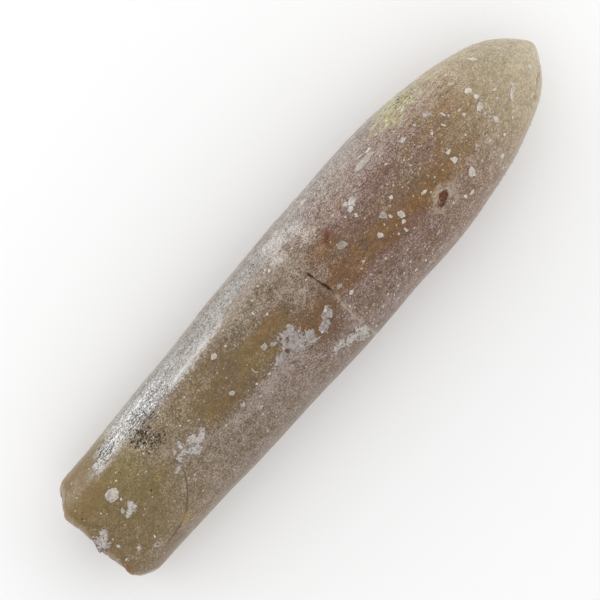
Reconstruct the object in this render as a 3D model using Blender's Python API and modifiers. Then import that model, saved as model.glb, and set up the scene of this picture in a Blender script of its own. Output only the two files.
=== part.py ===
"""A fossil belemnite guard lying on its side: one piece of brown, cloudy calcite.

Metres, +Z up. The long axis runs along X, with the blunt apex towards +X and the broken
front end towards -X. The guard rests on a narrow worn flat along its underside. The origin
is the middle of its footprint, on the surface that it lies on.

The guard is a turned profile, pressed a little wider than it is high. Its front end is a
rough break around a narrow cone, the alveolus. Chalk crusts and chips of shell have grown
on to it and are one solid with it.
"""

import math
import random

import bmesh
import bpy
from mathutils import Matrix, Vector, noise

MM = 0.001

# The guard's driving dimensions
LENGTH = 100.0 * MM
GREATEST_RADIUS = 11.35 * MM  # half its width where it is fattest
FRONT_RADIUS = 9.9 * MM  # half its width at the broken front end
FATTEST_AT = 56.0 * MM  # from the front end, the swelling is complete here
APEX_FROM = 65.3 * MM  # from the front end, the apex starts to close here
APEX_FULLNESS = 2.1  # 2 would be a plain ellipse
APEX_SHIFT = -0.3 * MM  # the apex sits a little towards -Y
TIP_FROM = 0.8  # share of the apex's length where its tip starts to narrow
TIP_NARROWING = 0.4  # share of the radius that the tip loses by its end
TIP_BEND = 3.0
HEIGHT_SHARE = 0.93  # height of the section as a share of its width
RIM_RADIUS = 0.8 * MM  # wear on the rim of the break

# The flattened strip along the +Y shoulder
SHOULDER_ANGLE = math.radians(33)  # its middle, from +Y towards +Z
SHOULDER_HALF_SPAN = math.radians(19)
SHOULDER_DEPTH = 0.24 * MM
SHOULDER_SOFTNESS = 2.2  # 1 would leave a crease along both its sides
SHOULDER_FADE = (2.0 * MM, 9.0 * MM, 42.0 * MM, 58.0 * MM)  # starts, is full, full until, is gone

# The alveolus, the narrow cone in the broken end
ALVEOLUS_RADIUS = 2.4 * MM
ALVEOLUS_DEPTH = 12.0 * MM

# The rough break: how its face strays from a flat one
BREAK_REACH = 15.0 * MM  # the strays fade out this far along the guard
CORNER_CHIP = 3.6 * MM  # the +Y corner is broken back by this much
CORNER_CHIP_SPAN = (5.0 * MM, 10.6 * MM)
CORNER_CHIP_BEND = 1.4  # 1 would be a plain smooth step
CORNER_WEAR = 3.4 * MM  # and the -Y corner is worn back by this much
CORNER_WEAR_SPAN = (7.0 * MM, 10.4 * MM)
CORNER_WEAR_BEND = 2.0
BREAK_LEAN = 0.10  # the lower edge stands back, as a share of the height
BREAK_ROUGHNESS = ((4.5 * MM, 0.55 * MM), (1.9 * MM, 0.22 * MM))  # size and height of its lumps

# Gentle unevenness of the whole surface: size and height of its lumps
LUMPS = ((11.0 * MM, 0.16 * MM), (4.0 * MM, 0.05 * MM))
LUMPS_FADE = 4.0 * MM  # nearer to the axis than this they die away

# The worn flat that the guard rests on
REST_DEPTH = 0.15 * MM

# How finely the solid is faceted
STEPS_AROUND = 52
APEX_ROWS = 13
FLANK_ROWS = 25
RIM_ROWS = 3
BREAK_ROWS = 4
CONE_ROWS = 3

# The fracture that crosses the guard: along and across, in mm, from the top view
FRACTURE = (
    (51.2, 8.6), (51.25, 7.0), (51.3, 5.0), (51.35, 3.0), (51.5, 1.5), (51.65, 0.0),
    (51.95, -1.5), (51.75, -3.0), (51.4, -4.6), (51.25, -6.4), (51.2, -8.2), (51.25, -9.8),
    (51.35, -10.9),
)
FRACTURE_RADIUS = 0.17 * MM

# Holes: along, across, length, width, depth, in mm, and turn in degrees
PITS = (
    (73.4, -5.6, 2.6, 1.5, 0.7, 28),
    (57.3, 3.8, 1.6, 0.8, 0.3, 25),
)
PIT_SEGMENTS = 10
PIT_RINGS = 6

# Chips of shell: along, across, length, width, in mm, and turn in degrees
SHELL_CHIPS = (
    (7.0, 2.7, 2.3, 2.0, 15), (7.5, -0.6, 2.4, 1.8, -20), (2.0, -3.0, 1.0, 0.9, 0),
    (3.8, -5.4, 1.0, 0.9, 30), (6.2, -7.2, 1.3, 1.2, 0), (16.7, -2.2, 1.4, 0.8, 10),
    (30.2, -0.8, 1.1, 1.0, 0), (30.2, -2.9, 1.0, 1.3, 0), (32.8, 4.9, 1.5, 0.9, -10),
    (39.0, 0.0, 1.4, 1.6, 0), (53.0, -2.4, 2.0, 0.9, -10), (53.7, -4.3, 1.0, 0.7, 10),
    (57.8, 1.2, 1.5, 1.2, -30), (63.8, 4.4, 1.8, 1.4, 15), (65.6, -0.3, 1.3, 1.4, 0),
    (67.5, -2.1, 1.1, 1.4, 0), (66.8, -3.2, 1.0, 0.7, 20), (66.1, -4.3, 0.6, 1.6, 10),
    (62.8, -1.8, 1.1, 1.0, 30), (72.0, -2.7, 1.1, 0.6, -10), (69.5, 7.0, 2.2, 0.9, 5),
    (71.1, 7.2, 1.3, 1.1, 0), (75.7, 4.8, 1.4, 0.9, -15), (79.2, -5.9, 1.9, 1.6, 0),
    (76.6, -8.1, 1.1, 0.7, 0), (78.7, -2.8, 0.9, 1.2, -20), (81.2, 4.6, 1.0, 1.2, 0),
    (87.9, 2.3, 1.3, 0.9, -20), (87.3, -0.5, 1.4, 1.2, 10), (87.5, -3.5, 1.0, 0.9, 30),
    (90.5, -0.5, 1.2, 0.6, 0), (92.2, 4.8, 2.0, 0.7, -60), (91.8, -2.7, 1.8, 0.7, 40),
)
CHIP_HEIGHT = 0.20 * MM

# Lobes of the chalk crusts, which run together: along, across, length, width, in mm, and turn
CRUST_LOBES = (
    (1.0, -0.8, 1.9, 2.4, 0), (2.0, 0.0, 1.0, 0.9, 20),
    (18.5, -1.3, 1.8, 1.0, -20), (20.4, -2.3, 1.7, 1.3, 0), (21.4, -1.3, 1.9, 1.8, 25),
    (22.8, -1.5, 1.6, 1.1, 0),
    (41.3, -1.1, 1.9, 1.3, 30), (41.2, -2.8, 1.9, 1.3, 0), (42.9, -2.4, 2.6, 2.5, 0),
    (44.1, -3.7, 2.1, 2.0, -30), (39.3, -2.9, 2.4, 0.9, 10),
    (47.3, -4.4, 2.8, 1.1, 15), (49.0, -3.4, 1.4, 1.0, 0),
    (46.2, -8.2, 2.4, 0.9, -10), (48.2, -8.8, 2.4, 1.2, -10), (50.0, -9.4, 2.2, 1.5, 0),
)
CRUST_HEIGHT = 0.13 * MM

# Chips on the sides that the top view doesn't reach
HIDDEN_CHIPS = 16
HIDDEN_SEED = 7
HIDDEN_ALONG = (8.0 * MM, 90.0 * MM)
HIDDEN_ANGLES = (math.radians(188), math.radians(352))
REST_CLEARANCE = math.radians(34)  # none grows this near the bottom line
HIDDEN_SIZES = (1.0 * MM, 2.1 * MM)
HIDDEN_WIDTHS = (0.5, 0.95)  # as shares of the length

CHIP_SIDES = 7
CHIP_ROOT = 0.40 * MM  # how deep a chip is rooted in the guard
CHIP_TOP_SHARE = 0.86
CHIP_RAGGEDNESS = (0.80, 1.12)

FRAME_STEP = 0.3 * MM  # how far off the skin is sampled to find which way it faces
SMOOTH_UP_TO = math.radians(40)  # edges sharper than this stay sharp

CALCITE = (0.225, 0.155, 0.100, 1.0)
CALCITE_ROUGHNESS = 0.45
CHALK = (0.60, 0.55, 0.47, 1.0)
CHALK_ROUGHNESS = 0.75


def clear_scene():
    """Removes whatever the scene holds."""
    for old in list(bpy.data.objects):
        bpy.data.objects.remove(old, do_unlink=True)


def new_collection(name, hidden=False):
    """A collection of the scene. A hidden one holds cutters and growths."""
    made = bpy.data.collections.new(name)
    bpy.context.scene.collection.children.link(made)
    made.hide_render = hidden
    return made


def new_material(name, colour, roughness):
    """A plain Principled material."""
    material = bpy.data.materials.new(name)
    material.use_nodes = True
    shader = material.node_tree.nodes["Principled BSDF"]
    shader.inputs["Base Color"].default_value = colour
    shader.inputs["Roughness"].default_value = roughness
    shader.inputs["Metallic"].default_value = 0.0
    return material


def ease(share):
    """A smooth step from 0 to 1."""
    share = min(1.0, max(0.0, share))
    return share * share * (3.0 - 2.0 * share)


def radius_at(along):
    """Half the guard's width at a distance from its front end."""
    swelling = ease(along / FATTEST_AT)
    radius = FRONT_RADIUS + (GREATEST_RADIUS - FRONT_RADIUS) * swelling
    if along > APEX_FROM:
        share = (along - APEX_FROM) / (LENGTH - APEX_FROM)
        into_tip = max(0.0, (share - TIP_FROM) / (1.0 - TIP_FROM))
        radius *= math.sqrt(max(0.0, 1.0 - share**APEX_FULLNESS))
        radius *= 1.0 - TIP_NARROWING * into_tip**TIP_BEND
    return radius


def centre_at(along):
    """The section's middle: the underside stays straight until the apex closes."""
    apex_share = max(0.0, (along - FATTEST_AT) / (LENGTH - FATTEST_AT))
    height = HEIGHT_SHARE * radius_at(min(along, APEX_FROM)) - REST_DEPTH
    return Vector((along, APEX_SHIFT * apex_share**2, height))


def lumps_at(point, sizes):
    """The height of a few layers of smooth noise at a point."""
    return sum(height * noise.noise(point / size) for size, height in sizes)


def shoulder_at(along, angle):
    """How far the flattened shoulder is pressed in."""
    start, full, full_until, gone = SHOULDER_FADE
    lengthwise = ease((along - start) / (full - start)) * ease((gone - along) / (gone - full_until))
    off_middle = abs(angle - SHOULDER_ANGLE) / SHOULDER_HALF_SPAN
    return SHOULDER_DEPTH * lengthwise * max(0.0, 1.0 - off_middle**2) ** SHOULDER_SOFTNESS


def break_shift(across, height):
    """How far the broken face stands back from the front plane."""
    chip_from, chip_to = CORNER_CHIP_SPAN
    wear_from, wear_to = CORNER_WEAR_SPAN
    chipped = ease((across - chip_from) / (chip_to - chip_from))
    worn = ease((-across - wear_from) / (wear_to - wear_from))
    shift = CORNER_CHIP * chipped**CORNER_CHIP_BEND + CORNER_WEAR * worn**CORNER_WEAR_BEND
    shift += BREAK_LEAN * max(0.0, HEIGHT_SHARE * FRONT_RADIUS - height)
    return shift + lumps_at(Vector((0.0, across, height)), BREAK_ROUGHNESS)


def place(along, radius, angle):
    """A point of the guard, from its place on the turned profile. Angle runs from +Y to +Z."""
    full = radius_at(along)
    centre = centre_at(along)
    outward = Vector((0.0, math.cos(angle), HEIGHT_SHARE * math.sin(angle)))
    share = min(1.0, radius / max(full, 1e-6)) * min(1.0, radius / LUMPS_FADE)
    skin = centre + outward * full
    relief = lumps_at(skin, LUMPS) - shoulder_at(along, angle)
    point = centre + outward * (radius + relief * share)
    if along < BREAK_REACH:
        point.x += break_shift(point.y, point.z) * (1.0 - along / BREAK_REACH)
    return point


def skin_frame(along, angle):
    """A matrix on the skin: x along the guard, y around it, z outwards."""
    turn = FRAME_STEP / max(radius_at(along), FRAME_STEP)
    origin = place(along, radius_at(along), angle)
    ahead = place(along + FRAME_STEP, radius_at(along + FRAME_STEP), angle) - origin
    around = place(along, radius_at(along), angle + turn) - origin
    outwards = around.cross(ahead).normalized()
    if outwards.dot(origin - centre_at(along)) < 0:
        outwards = -outwards
    ahead = (ahead - outwards * ahead.dot(outwards)).normalized()
    rows = Matrix((ahead, outwards.cross(ahead), outwards)).transposed()
    return Matrix.Translation(origin) @ rows.to_4x4()


def angle_of(along, across):
    """The angle on the upper side of a place read from the top view."""
    offset = (across - centre_at(along).y) / radius_at(along)
    return math.acos(min(0.999, max(-0.999, offset)))


def guard_profile():
    """(radius, along) from the apex down the outer side, over the rim and into the cone."""
    points = []
    for row in range(APEX_ROWS):
        turn = 0.5 * math.pi * row / APEX_ROWS
        reach = math.cos(turn) ** (2.0 / APEX_FULLNESS)
        along = APEX_FROM + (LENGTH - APEX_FROM) * reach
        points.append((radius_at(along), along))
    for row in range(FLANK_ROWS):
        along = APEX_FROM + (RIM_RADIUS - APEX_FROM) * row / FLANK_ROWS
        points.append((radius_at(along), along))
    for row in range(RIM_ROWS + 1):
        turn = 0.5 * math.pi * row / RIM_ROWS
        drop = RIM_RADIUS * (1.0 - math.cos(turn))
        points.append((FRONT_RADIUS - drop, RIM_RADIUS * (1.0 - math.sin(turn))))
    for row in range(1, BREAK_ROWS + 1):
        share = row / BREAK_ROWS
        inner = FRONT_RADIUS - RIM_RADIUS
        points.append((inner + (ALVEOLUS_RADIUS - inner) * share, 0.0))
    for row in range(1, CONE_ROWS + 1):
        share = row / CONE_ROWS
        points.append((ALVEOLUS_RADIUS * (1.0 - share), ALVEOLUS_DEPTH * share))
    return points


def turned_guard():
    """The closed turned shape, as a mesh around Z, from the profile and a Screw modifier."""
    profile = bpy.data.meshes.new("guard_profile")
    points = [(radius, 0.0, along) for radius, along in guard_profile()]
    profile.from_pydata(points, [(i, i + 1) for i in range(len(points) - 1)], [])
    turned = bpy.data.objects.new("guard_profile", profile)
    bpy.context.scene.collection.objects.link(turned)
    screw = turned.modifiers.new("turn", "SCREW")
    screw.steps = screw.render_steps = STEPS_AROUND
    screw.use_merge_vertices = True
    screw.merge_threshold = 0.00001
    graph = bpy.context.evaluated_depsgraph_get()
    mesh = bpy.data.meshes.new_from_object(turned.evaluated_get(graph))
    bpy.data.objects.remove(turned, do_unlink=True)
    return mesh


def rostrum(collection, material):
    """The guard itself, laid along X and given its section, its lumps and its break."""
    mesh = turned_guard()
    mesh.name = "rostrum"
    for vertex in mesh.vertices:
        radius = math.hypot(vertex.co.x, vertex.co.y)
        angle = math.atan2(vertex.co.y, vertex.co.x)
        vertex.co = place(vertex.co.z, radius, angle)
    mesh.materials.append(material)
    made = bpy.data.objects.new("rostrum", mesh)
    collection.objects.link(made)
    return made


def chip(name, frame, size, height, seed):
    """A low ragged plate, rooted in the skin and standing a little above it."""
    rng = random.Random(seed)
    reach = [rng.uniform(*CHIP_RAGGEDNESS) for _ in range(CHIP_SIDES)]
    bm = bmesh.new()
    bmesh.ops.create_cone(
        bm, cap_ends=True, segments=CHIP_SIDES, radius1=0.5, radius2=0.5 * CHIP_TOP_SHARE,
        depth=height + CHIP_ROOT,
    )
    for vertex in bm.verts:
        corner = round(math.atan2(vertex.co.x, vertex.co.y) * CHIP_SIDES / math.tau) % CHIP_SIDES
        vertex.co.x *= size[0] * reach[corner]
        vertex.co.y *= size[1] * reach[corner]
        vertex.co.z += 0.5 * (height - CHIP_ROOT)
    bm.transform(frame)
    mesh = bpy.data.meshes.new(name)
    bm.to_mesh(mesh)
    bm.free()
    return bpy.data.objects.new(name, mesh)


def seen_frame(along, across, turn):
    """The skin's frame at a place of the top view, turned in the skin."""
    spot = skin_frame(along * MM, angle_of(along * MM, across * MM))
    return spot @ Matrix.Rotation(math.radians(turn), 4, "Z")


def growths(collection, material):
    """Every chip and crust lobe that the guard carries."""
    made = []
    for kind, places, height in (
        ("shell", SHELL_CHIPS, CHIP_HEIGHT),
        ("crust", CRUST_LOBES, CRUST_HEIGHT),
    ):
        for number, (along, across, long, wide, turn) in enumerate(places):
            frame = seen_frame(along, across, turn)
            size = (long * MM, wide * MM)
            made.append(chip(f"{kind}_{number:02d}", frame, size, height, f"{kind}{number}"))
    made += hidden_chips()
    for growth in made:
        growth.data.materials.append(material)
        growth.display_type = "WIRE"
        growth.hide_render = True
        collection.objects.link(growth)
    return made


def hidden_chips():
    """Chips on the lower flanks, none of them under the guard's resting line."""
    rng = random.Random(HIDDEN_SEED)
    bottom = math.radians(270)
    made = []
    while len(made) < HIDDEN_CHIPS:
        along = rng.uniform(*HIDDEN_ALONG)
        angle = rng.uniform(*HIDDEN_ANGLES)
        long = rng.uniform(*HIDDEN_SIZES)
        wide = long * rng.uniform(*HIDDEN_WIDTHS)
        turn = rng.uniform(0.0, math.pi)
        if abs(angle - bottom) < REST_CLEARANCE:
            continue
        frame = skin_frame(along, angle) @ Matrix.Rotation(turn, 4, "Z")
        name = f"hidden_{len(made):02d}"
        made.append(chip(name, frame, (long, wide), CHIP_HEIGHT, name))
    return made


def fracture_cutter(collection):
    """A thin tube along the fracture, half sunk in the skin."""
    points = [seen_frame(along, across, 0).translation for along, across in FRACTURE]
    curve = bpy.data.curves.new("fracture_line", "CURVE")
    curve.dimensions = "3D"
    curve.bevel_depth = FRACTURE_RADIUS
    curve.bevel_resolution = 1
    curve.use_fill_caps = True
    spline = curve.splines.new("POLY")
    spline.points.add(len(points) - 1)
    for knot, point in zip(spline.points, points):
        knot.co = (*point, 1.0)
    tube = bpy.data.objects.new("fracture_line", curve)
    bpy.context.scene.collection.objects.link(tube)
    graph = bpy.context.evaluated_depsgraph_get()
    mesh = bpy.data.meshes.new_from_object(tube.evaluated_get(graph))
    bpy.data.objects.remove(tube, do_unlink=True)
    bm = bmesh.new()
    bm.from_mesh(mesh)
    bmesh.ops.remove_doubles(bm, verts=bm.verts, dist=0.000001)
    bmesh.ops.recalc_face_normals(bm, faces=bm.faces)
    bm.to_mesh(mesh)
    bm.free()
    return add_cutter(collection, "fracture", mesh)


def pit_cutter(collection, number, along, across, long, wide, depth, turn):
    """A small egg whose lower half makes a pit in the skin."""
    frame = seen_frame(along, across, turn)
    bm = bmesh.new()
    bmesh.ops.create_uvsphere(bm, u_segments=PIT_SEGMENTS, v_segments=PIT_RINGS, radius=1.0)
    bm.transform(frame @ Matrix.Diagonal((0.5 * long * MM, 0.5 * wide * MM, depth * MM, 1.0)))
    mesh = bpy.data.meshes.new(f"pit_{number}")
    bm.to_mesh(mesh)
    bm.free()
    return add_cutter(collection, f"pit_{number}", mesh)


def rest_cutter(collection):
    """A block whose top is the surface that the guard lies on."""
    bm = bmesh.new()
    bmesh.ops.create_cube(bm, size=1.0)
    length, width, depth = 2.0 * LENGTH, 4.0 * GREATEST_RADIUS, 2.0 * GREATEST_RADIUS
    middle = Matrix.Translation((0.5 * LENGTH, 0.0, -0.5 * depth))
    bm.transform(middle @ Matrix.Diagonal((length, width, depth, 1.0)))
    mesh = bpy.data.meshes.new("rest_plane")
    bm.to_mesh(mesh)
    bm.free()
    return add_cutter(collection, "rest_plane", mesh)


def add_cutter(collection, name, mesh):
    """Links a cutter, which isn't part of the fossil."""
    cutter = bpy.data.objects.new(name, mesh)
    cutter.display_type = "WIRE"
    cutter.hide_render = True
    collection.objects.link(cutter)
    return cutter


def boolean(target, name, operation, operand=None, collection=None):
    """An exact Boolean modifier with one object or a collection of them."""
    modifier = target.modifiers.new(name, "BOOLEAN")
    modifier.operation = operation
    modifier.solver = "EXACT"
    if collection:
        modifier.operand_type = "COLLECTION"
        modifier.collection = collection
    else:
        modifier.object = operand
    modifier.material_mode = "TRANSFER"
    return modifier


def centre_on_origin(target, axis):
    """Moves the empty that carries everything so that the footprint's middle is the origin."""
    graph = bpy.context.evaluated_depsgraph_get()
    corners = [Vector(corner) for corner in target.evaluated_get(graph).bound_box]
    low_x, high_x = min(c.x for c in corners), max(c.x for c in corners)
    low_y, high_y = min(c.y for c in corners), max(c.y for c in corners)
    axis.location = (-0.5 * (low_x + high_x), -0.5 * (low_y + high_y), 0.0)


def main():
    """Builds the fossil."""
    clear_scene()
    fossil = new_collection("fossil_belemnite")
    grown = new_collection("growths", hidden=True)
    cutters = new_collection("cutters", hidden=True)
    axis = bpy.data.objects.new("belemnite_axis", None)
    fossil.objects.link(axis)

    calcite = new_material("cloudy_calcite", CALCITE, CALCITE_ROUGHNESS)
    chalk = new_material("chalk_and_shell", CHALK, CHALK_ROUGHNESS)
    guard = rostrum(fossil, calcite)
    guard.data.materials.append(chalk)
    riders = growths(grown, chalk)
    fracture = fracture_cutter(cutters)
    pits = [pit_cutter(cutters, number, *pit) for number, pit in enumerate(PITS)]
    rest = rest_cutter(cutters)
    for rider in (guard, fracture, rest, *pits, *riders):
        rider.parent = axis

    boolean(guard, "fracture", "DIFFERENCE", fracture)
    for pit in pits:
        boolean(guard, pit.name, "DIFFERENCE", pit)
    boolean(guard, "growths", "UNION", collection=grown)
    boolean(guard, "rest", "DIFFERENCE", rest)
    centre_on_origin(guard, axis)
    guard.data.shade_smooth()
    guard.data.set_sharp_from_angle(angle=SMOOTH_UP_TO)


main()
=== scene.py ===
"""The looks of a fossil belemnite guard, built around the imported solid.

The guard lies on its side, seen from straight above. Its meshes are made in its own frame:
along it from the broken end to the apex, across it, and up from the surface it lies on. Sizes
are in millimetres, and a mesh is scaled to metres as it is made. The guard and its growths
then move together into the row frame.
"""

import logging
import math
import random
from dataclasses import dataclass, field
from enum import Enum
from typing import Any

import bpy
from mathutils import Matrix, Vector, noise


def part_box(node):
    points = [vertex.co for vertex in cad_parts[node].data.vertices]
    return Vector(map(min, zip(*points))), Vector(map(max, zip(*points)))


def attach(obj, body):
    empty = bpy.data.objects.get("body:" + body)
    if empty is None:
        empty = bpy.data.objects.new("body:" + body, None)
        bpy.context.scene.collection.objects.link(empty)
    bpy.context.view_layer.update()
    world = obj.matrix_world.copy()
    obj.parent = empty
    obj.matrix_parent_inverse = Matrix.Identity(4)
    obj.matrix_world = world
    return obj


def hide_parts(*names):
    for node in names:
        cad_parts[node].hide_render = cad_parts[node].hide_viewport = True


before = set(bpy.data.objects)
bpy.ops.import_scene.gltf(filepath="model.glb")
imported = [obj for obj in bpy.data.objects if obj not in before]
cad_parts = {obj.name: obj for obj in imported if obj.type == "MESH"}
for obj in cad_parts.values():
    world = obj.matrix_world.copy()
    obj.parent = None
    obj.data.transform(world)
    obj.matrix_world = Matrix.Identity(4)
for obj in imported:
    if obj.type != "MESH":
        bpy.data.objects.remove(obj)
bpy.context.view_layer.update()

MM = 0.001
CALCITE_BEND, SHELL_BEND, CHALK_BEND = 1.56, 1.53, 1.5
SPECK_CUT = 0.02
SPECK_EDGE = (1.0, 0.7)
SMALLEST_SPECK = 0.45
log = logging.getLogger("belemnite")

Colour = tuple[float, float, float, float]
Knots = tuple[tuple[float, float], ...]
Span = tuple[float, float]  # from, and to
Fade = tuple[float, float]  # where a mask is 0, and where it is 1


def ease(share: float) -> float:
    """A smooth step from 0 to 1."""
    share = min(1.0, max(0.0, share))
    return share * share * (3.0 - 2.0 * share)


def between(knots: Knots, at: float) -> float:
    """Reads a line through knots.

    Args:
        knots: Places and values, in the order of their places.
        at: The place to read. Past the ends the line is level.

    Returns:
        The value there.
    """
    if at <= knots[0][0]:
        return knots[0][1]
    for (left, low), (right, high) in zip(knots, knots[1:]):
        if at <= right:
            return low + (high - low) * (at - left) / (right - left)
    return knots[-1][1]


def each(kind: type, *rows: tuple[Any, ...]) -> tuple[Any, ...]:
    """One thing of a kind from each row of a table."""
    return tuple(kind(*row) for row in rows)


@dataclass(frozen=True)
class Oval:
    """A turned oval in the top view of the guard."""

    along: float
    across: float
    length: float
    width: float
    turn: float = 0.0

    def spread(self, along: float, across: float) -> float:
        """How far from the oval's middle a place is.

        Args:
            along: Distance from the broken end.
            across: Distance from the middle line.

        Returns:
            0 in the middle and 1 on the oval's line.
        """
        turn = math.radians(self.turn)
        ahead, aside = along - self.along, across - self.across
        long = (ahead * math.cos(turn) + aside * math.sin(turn)) / (0.5 * self.length)
        wide = (aside * math.cos(turn) - ahead * math.sin(turn)) / (0.5 * self.width)
        return math.hypot(long, wide)


@dataclass(frozen=True)
class Hollow:
    """A small hole in the skin, with a ragged edge."""

    mouth: Oval
    depth: float
    slope: Fade = (0.45, 1.20)
    raggedness: float = 0.55
    notches: float = 1.7

    def depth_at(self, along: float, across: float) -> float:
        """How deep the hole is at a place of the top view.

        Args:
            along: Distance from the broken end.
            across: Distance from the middle line.

        Returns:
            The depth, 0 outside the hole.
        """
        notch = noise.noise(Vector((along, across, 0.0)) * self.notches)
        spread = self.mouth.spread(along, across) / (1.0 + self.raggedness * notch)
        floor, brim = self.slope
        return self.depth * (1.0 - ease((spread - floor) / (brim - floor)))


@dataclass(frozen=True)
class GuardShape:
    """The guard as a turned profile, pressed wider than high, with its lumps and its break."""

    length: float = 100.0
    greatest_radius: float = 11.35
    front_radius: float = 9.9
    fattest_at: float = 56.0
    apex_from: float = 65.3
    apex_fullness: float = 2.1
    apex_shift: float = -0.3
    tip_from: float = 0.8
    tip_narrowing: float = 0.4
    tip_bend: float = 3.0
    height_share: float = 0.93
    rim_radius: float = 0.8
    rest_depth: float = 0.15
    side_limit: float = 0.999
    least_radius: float = 1e-6
    shoulder_angle: float = math.radians(33)
    shoulder_half_span: float = math.radians(19)
    shoulder_depth: float = 0.24
    shoulder_softness: float = 2.2
    shoulder_fade: tuple[float, float, float, float] = (2.0, 9.0, 42.0, 58.0)
    alveolus_radius: float = 2.4
    alveolus_depth: float = 12.0
    break_reach: float = 15.0
    corner_chip: float = 3.6
    corner_chip_span: Span = (5.0, 10.6)
    corner_chip_bend: float = 1.4
    chip_roughness: float = 1.1
    corner_wear: float = 3.4
    corner_wear_span: Span = (7.0, 10.4)
    corner_wear_bend: float = 2.0
    break_lean: float = 0.10
    break_roughness: Knots = ((4.5, 0.55), (1.9, 0.22), (0.9, 0.20), (0.45, 0.09))
    lumps: Knots = ((11.0, 0.16), (4.0, 0.05), (1.3, 0.022), (0.6, 0.010))
    lumps_fade: float = 4.0
    fracture: Knots = (
        (-10.9, 51.35), (-9.8, 51.25), (-8.2, 51.2), (-6.4, 51.25), (-4.6, 51.4), (-3.0, 51.75),
        (-1.5, 51.95), (0.0, 51.65), (1.5, 51.5), (3.0, 51.35), (5.0, 51.3), (7.0, 51.25),
        (8.6, 51.2),
    )
    fracture_half_width: float = 0.12
    fracture_reach: float = 3.0
    fracture_slope: float = 1.5
    fracture_depth: float = 0.14
    faint_share: float = 0.4
    fracture_wander: float = 0.22
    wander_rate: float = 1.1
    wander_layer: float = 7.0
    flank_wander: float = 1.3
    flank_rates: tuple[float, float] = (0.12, 0.35)
    flank_layer: float = 2.0
    flank_heights: Fade = (9.0, 5.0)
    fracture_fade: Fade = (4.0, 7.5)
    fracture_fading: float = 0.8
    opening: Span = (-2.5, 3.0)
    opening_depth: float = 0.30
    opening_rate: float = 1.6
    opening_layer: float = 4.0
    opening_share: tuple[float, float] = (0.55, 1.6)
    hollows: tuple[Hollow, ...] = (
        Hollow(Oval(73.4, -5.6, 2.7, 1.5, 28.0), 0.70),
        Hollow(Oval(57.3, 3.8, 1.7, 0.8, 25.0), 0.30),
        Hollow(Oval(40.7, -2.8, 0.7, 0.8), 0.12),
    )

    def radius_at(self, along: float) -> float:
        """Half the guard's width at a distance from its broken end.

        Args:
            along: Distance from the broken end.

        Returns:
            The radius across the guard.
        """
        swelling = ease(along / self.fattest_at)
        radius = self.front_radius + (self.greatest_radius - self.front_radius) * swelling
        if along > self.apex_from:
            share = min(1.0, (along - self.apex_from) / (self.length - self.apex_from))
            into_tip = max(0.0, (share - self.tip_from) / (1.0 - self.tip_from))
            radius *= math.sqrt(max(0.0, 1.0 - share**self.apex_fullness))
            radius *= 1.0 - self.tip_narrowing * into_tip**self.tip_bend
        return radius

    def centre_at(self, along: float) -> Vector:
        """The middle of the section, above a straight underside.

        Args:
            along: Distance from the broken end.

        Returns:
            The middle.
        """
        apex_share = max(0.0, (along - self.fattest_at) / (self.length - self.fattest_at))
        height = self.height_share * self.radius_at(min(along, self.apex_from)) - self.rest_depth
        return Vector((along, self.apex_shift * apex_share**2, height))

    def lumps_at(self, point: Vector, sizes: Knots) -> float:
        """The height of a few layers of smooth lumps, given as size and height."""
        return sum(height * noise.noise(point / size) for size, height in sizes)

    def shoulder_at(self, along: float, angle: float) -> float:
        """How far the flattened shoulder is pressed in.

        Args:
            along: Distance from the broken end.
            angle: Angle round the section, from across to up.

        Returns:
            The depth of the flattening.
        """
        start, full, full_until, gone = self.shoulder_fade
        lengthwise = ease((along - start) / (full - start))
        lengthwise *= ease((gone - along) / (gone - full_until))
        off_middle = abs(angle - self.shoulder_angle) / self.shoulder_half_span
        sideways = max(0.0, 1.0 - off_middle**2) ** self.shoulder_softness
        return self.shoulder_depth * lengthwise * sideways

    def off_fracture(self, skin: Vector) -> float:
        """How far a place is past the line of the healed fracture, which wanders on the flanks.

        Args:
            skin: A point of the skin.

        Returns:
            The distance along the guard, above 0 towards the apex.
        """
        spot = Vector((skin.y * self.wander_rate, self.wander_layer, 0.0))
        wander = self.fracture_wander * noise.noise(spot)
        top, bottom = self.flank_heights
        low = ease((top - skin.z) / (top - bottom))
        rate_across, rate_up = self.flank_rates
        spot = Vector((skin.z * rate_up, skin.y * rate_across, self.flank_layer))
        wander += self.flank_wander * low * noise.noise(spot)
        return skin.x - between(self.fracture, skin.y) - wander

    def fracture_at(self, skin: Vector, upper: bool) -> float:
        """How deep the groove of the healed fracture is.

        Args:
            skin: A point of the skin.
            upper: Whether it is on the upper side, where the groove is deeper and gapes.

        Returns:
            The depth of the groove.
        """
        across = skin.y
        off_line = abs(self.off_fracture(skin))
        if off_line > self.fracture_reach * self.fracture_half_width:
            return 0.0
        depth = self.fracture_depth * (1.0 if upper else self.faint_share)
        fade_from, fade_to = self.fracture_fade
        depth *= 1.0 - self.fracture_fading * ease((across - fade_from) / (fade_to - fade_from))
        low, high = self.opening
        if upper and low < across < high:
            least, unevenness = self.opening_share
            gape = noise.noise(Vector((across * self.opening_rate, self.opening_layer, 0.0)))
            depth += self.opening_depth * ease(least + unevenness * gape)
        return depth * (1.0 - ease(off_line / (self.fracture_slope * self.fracture_half_width)))

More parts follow.
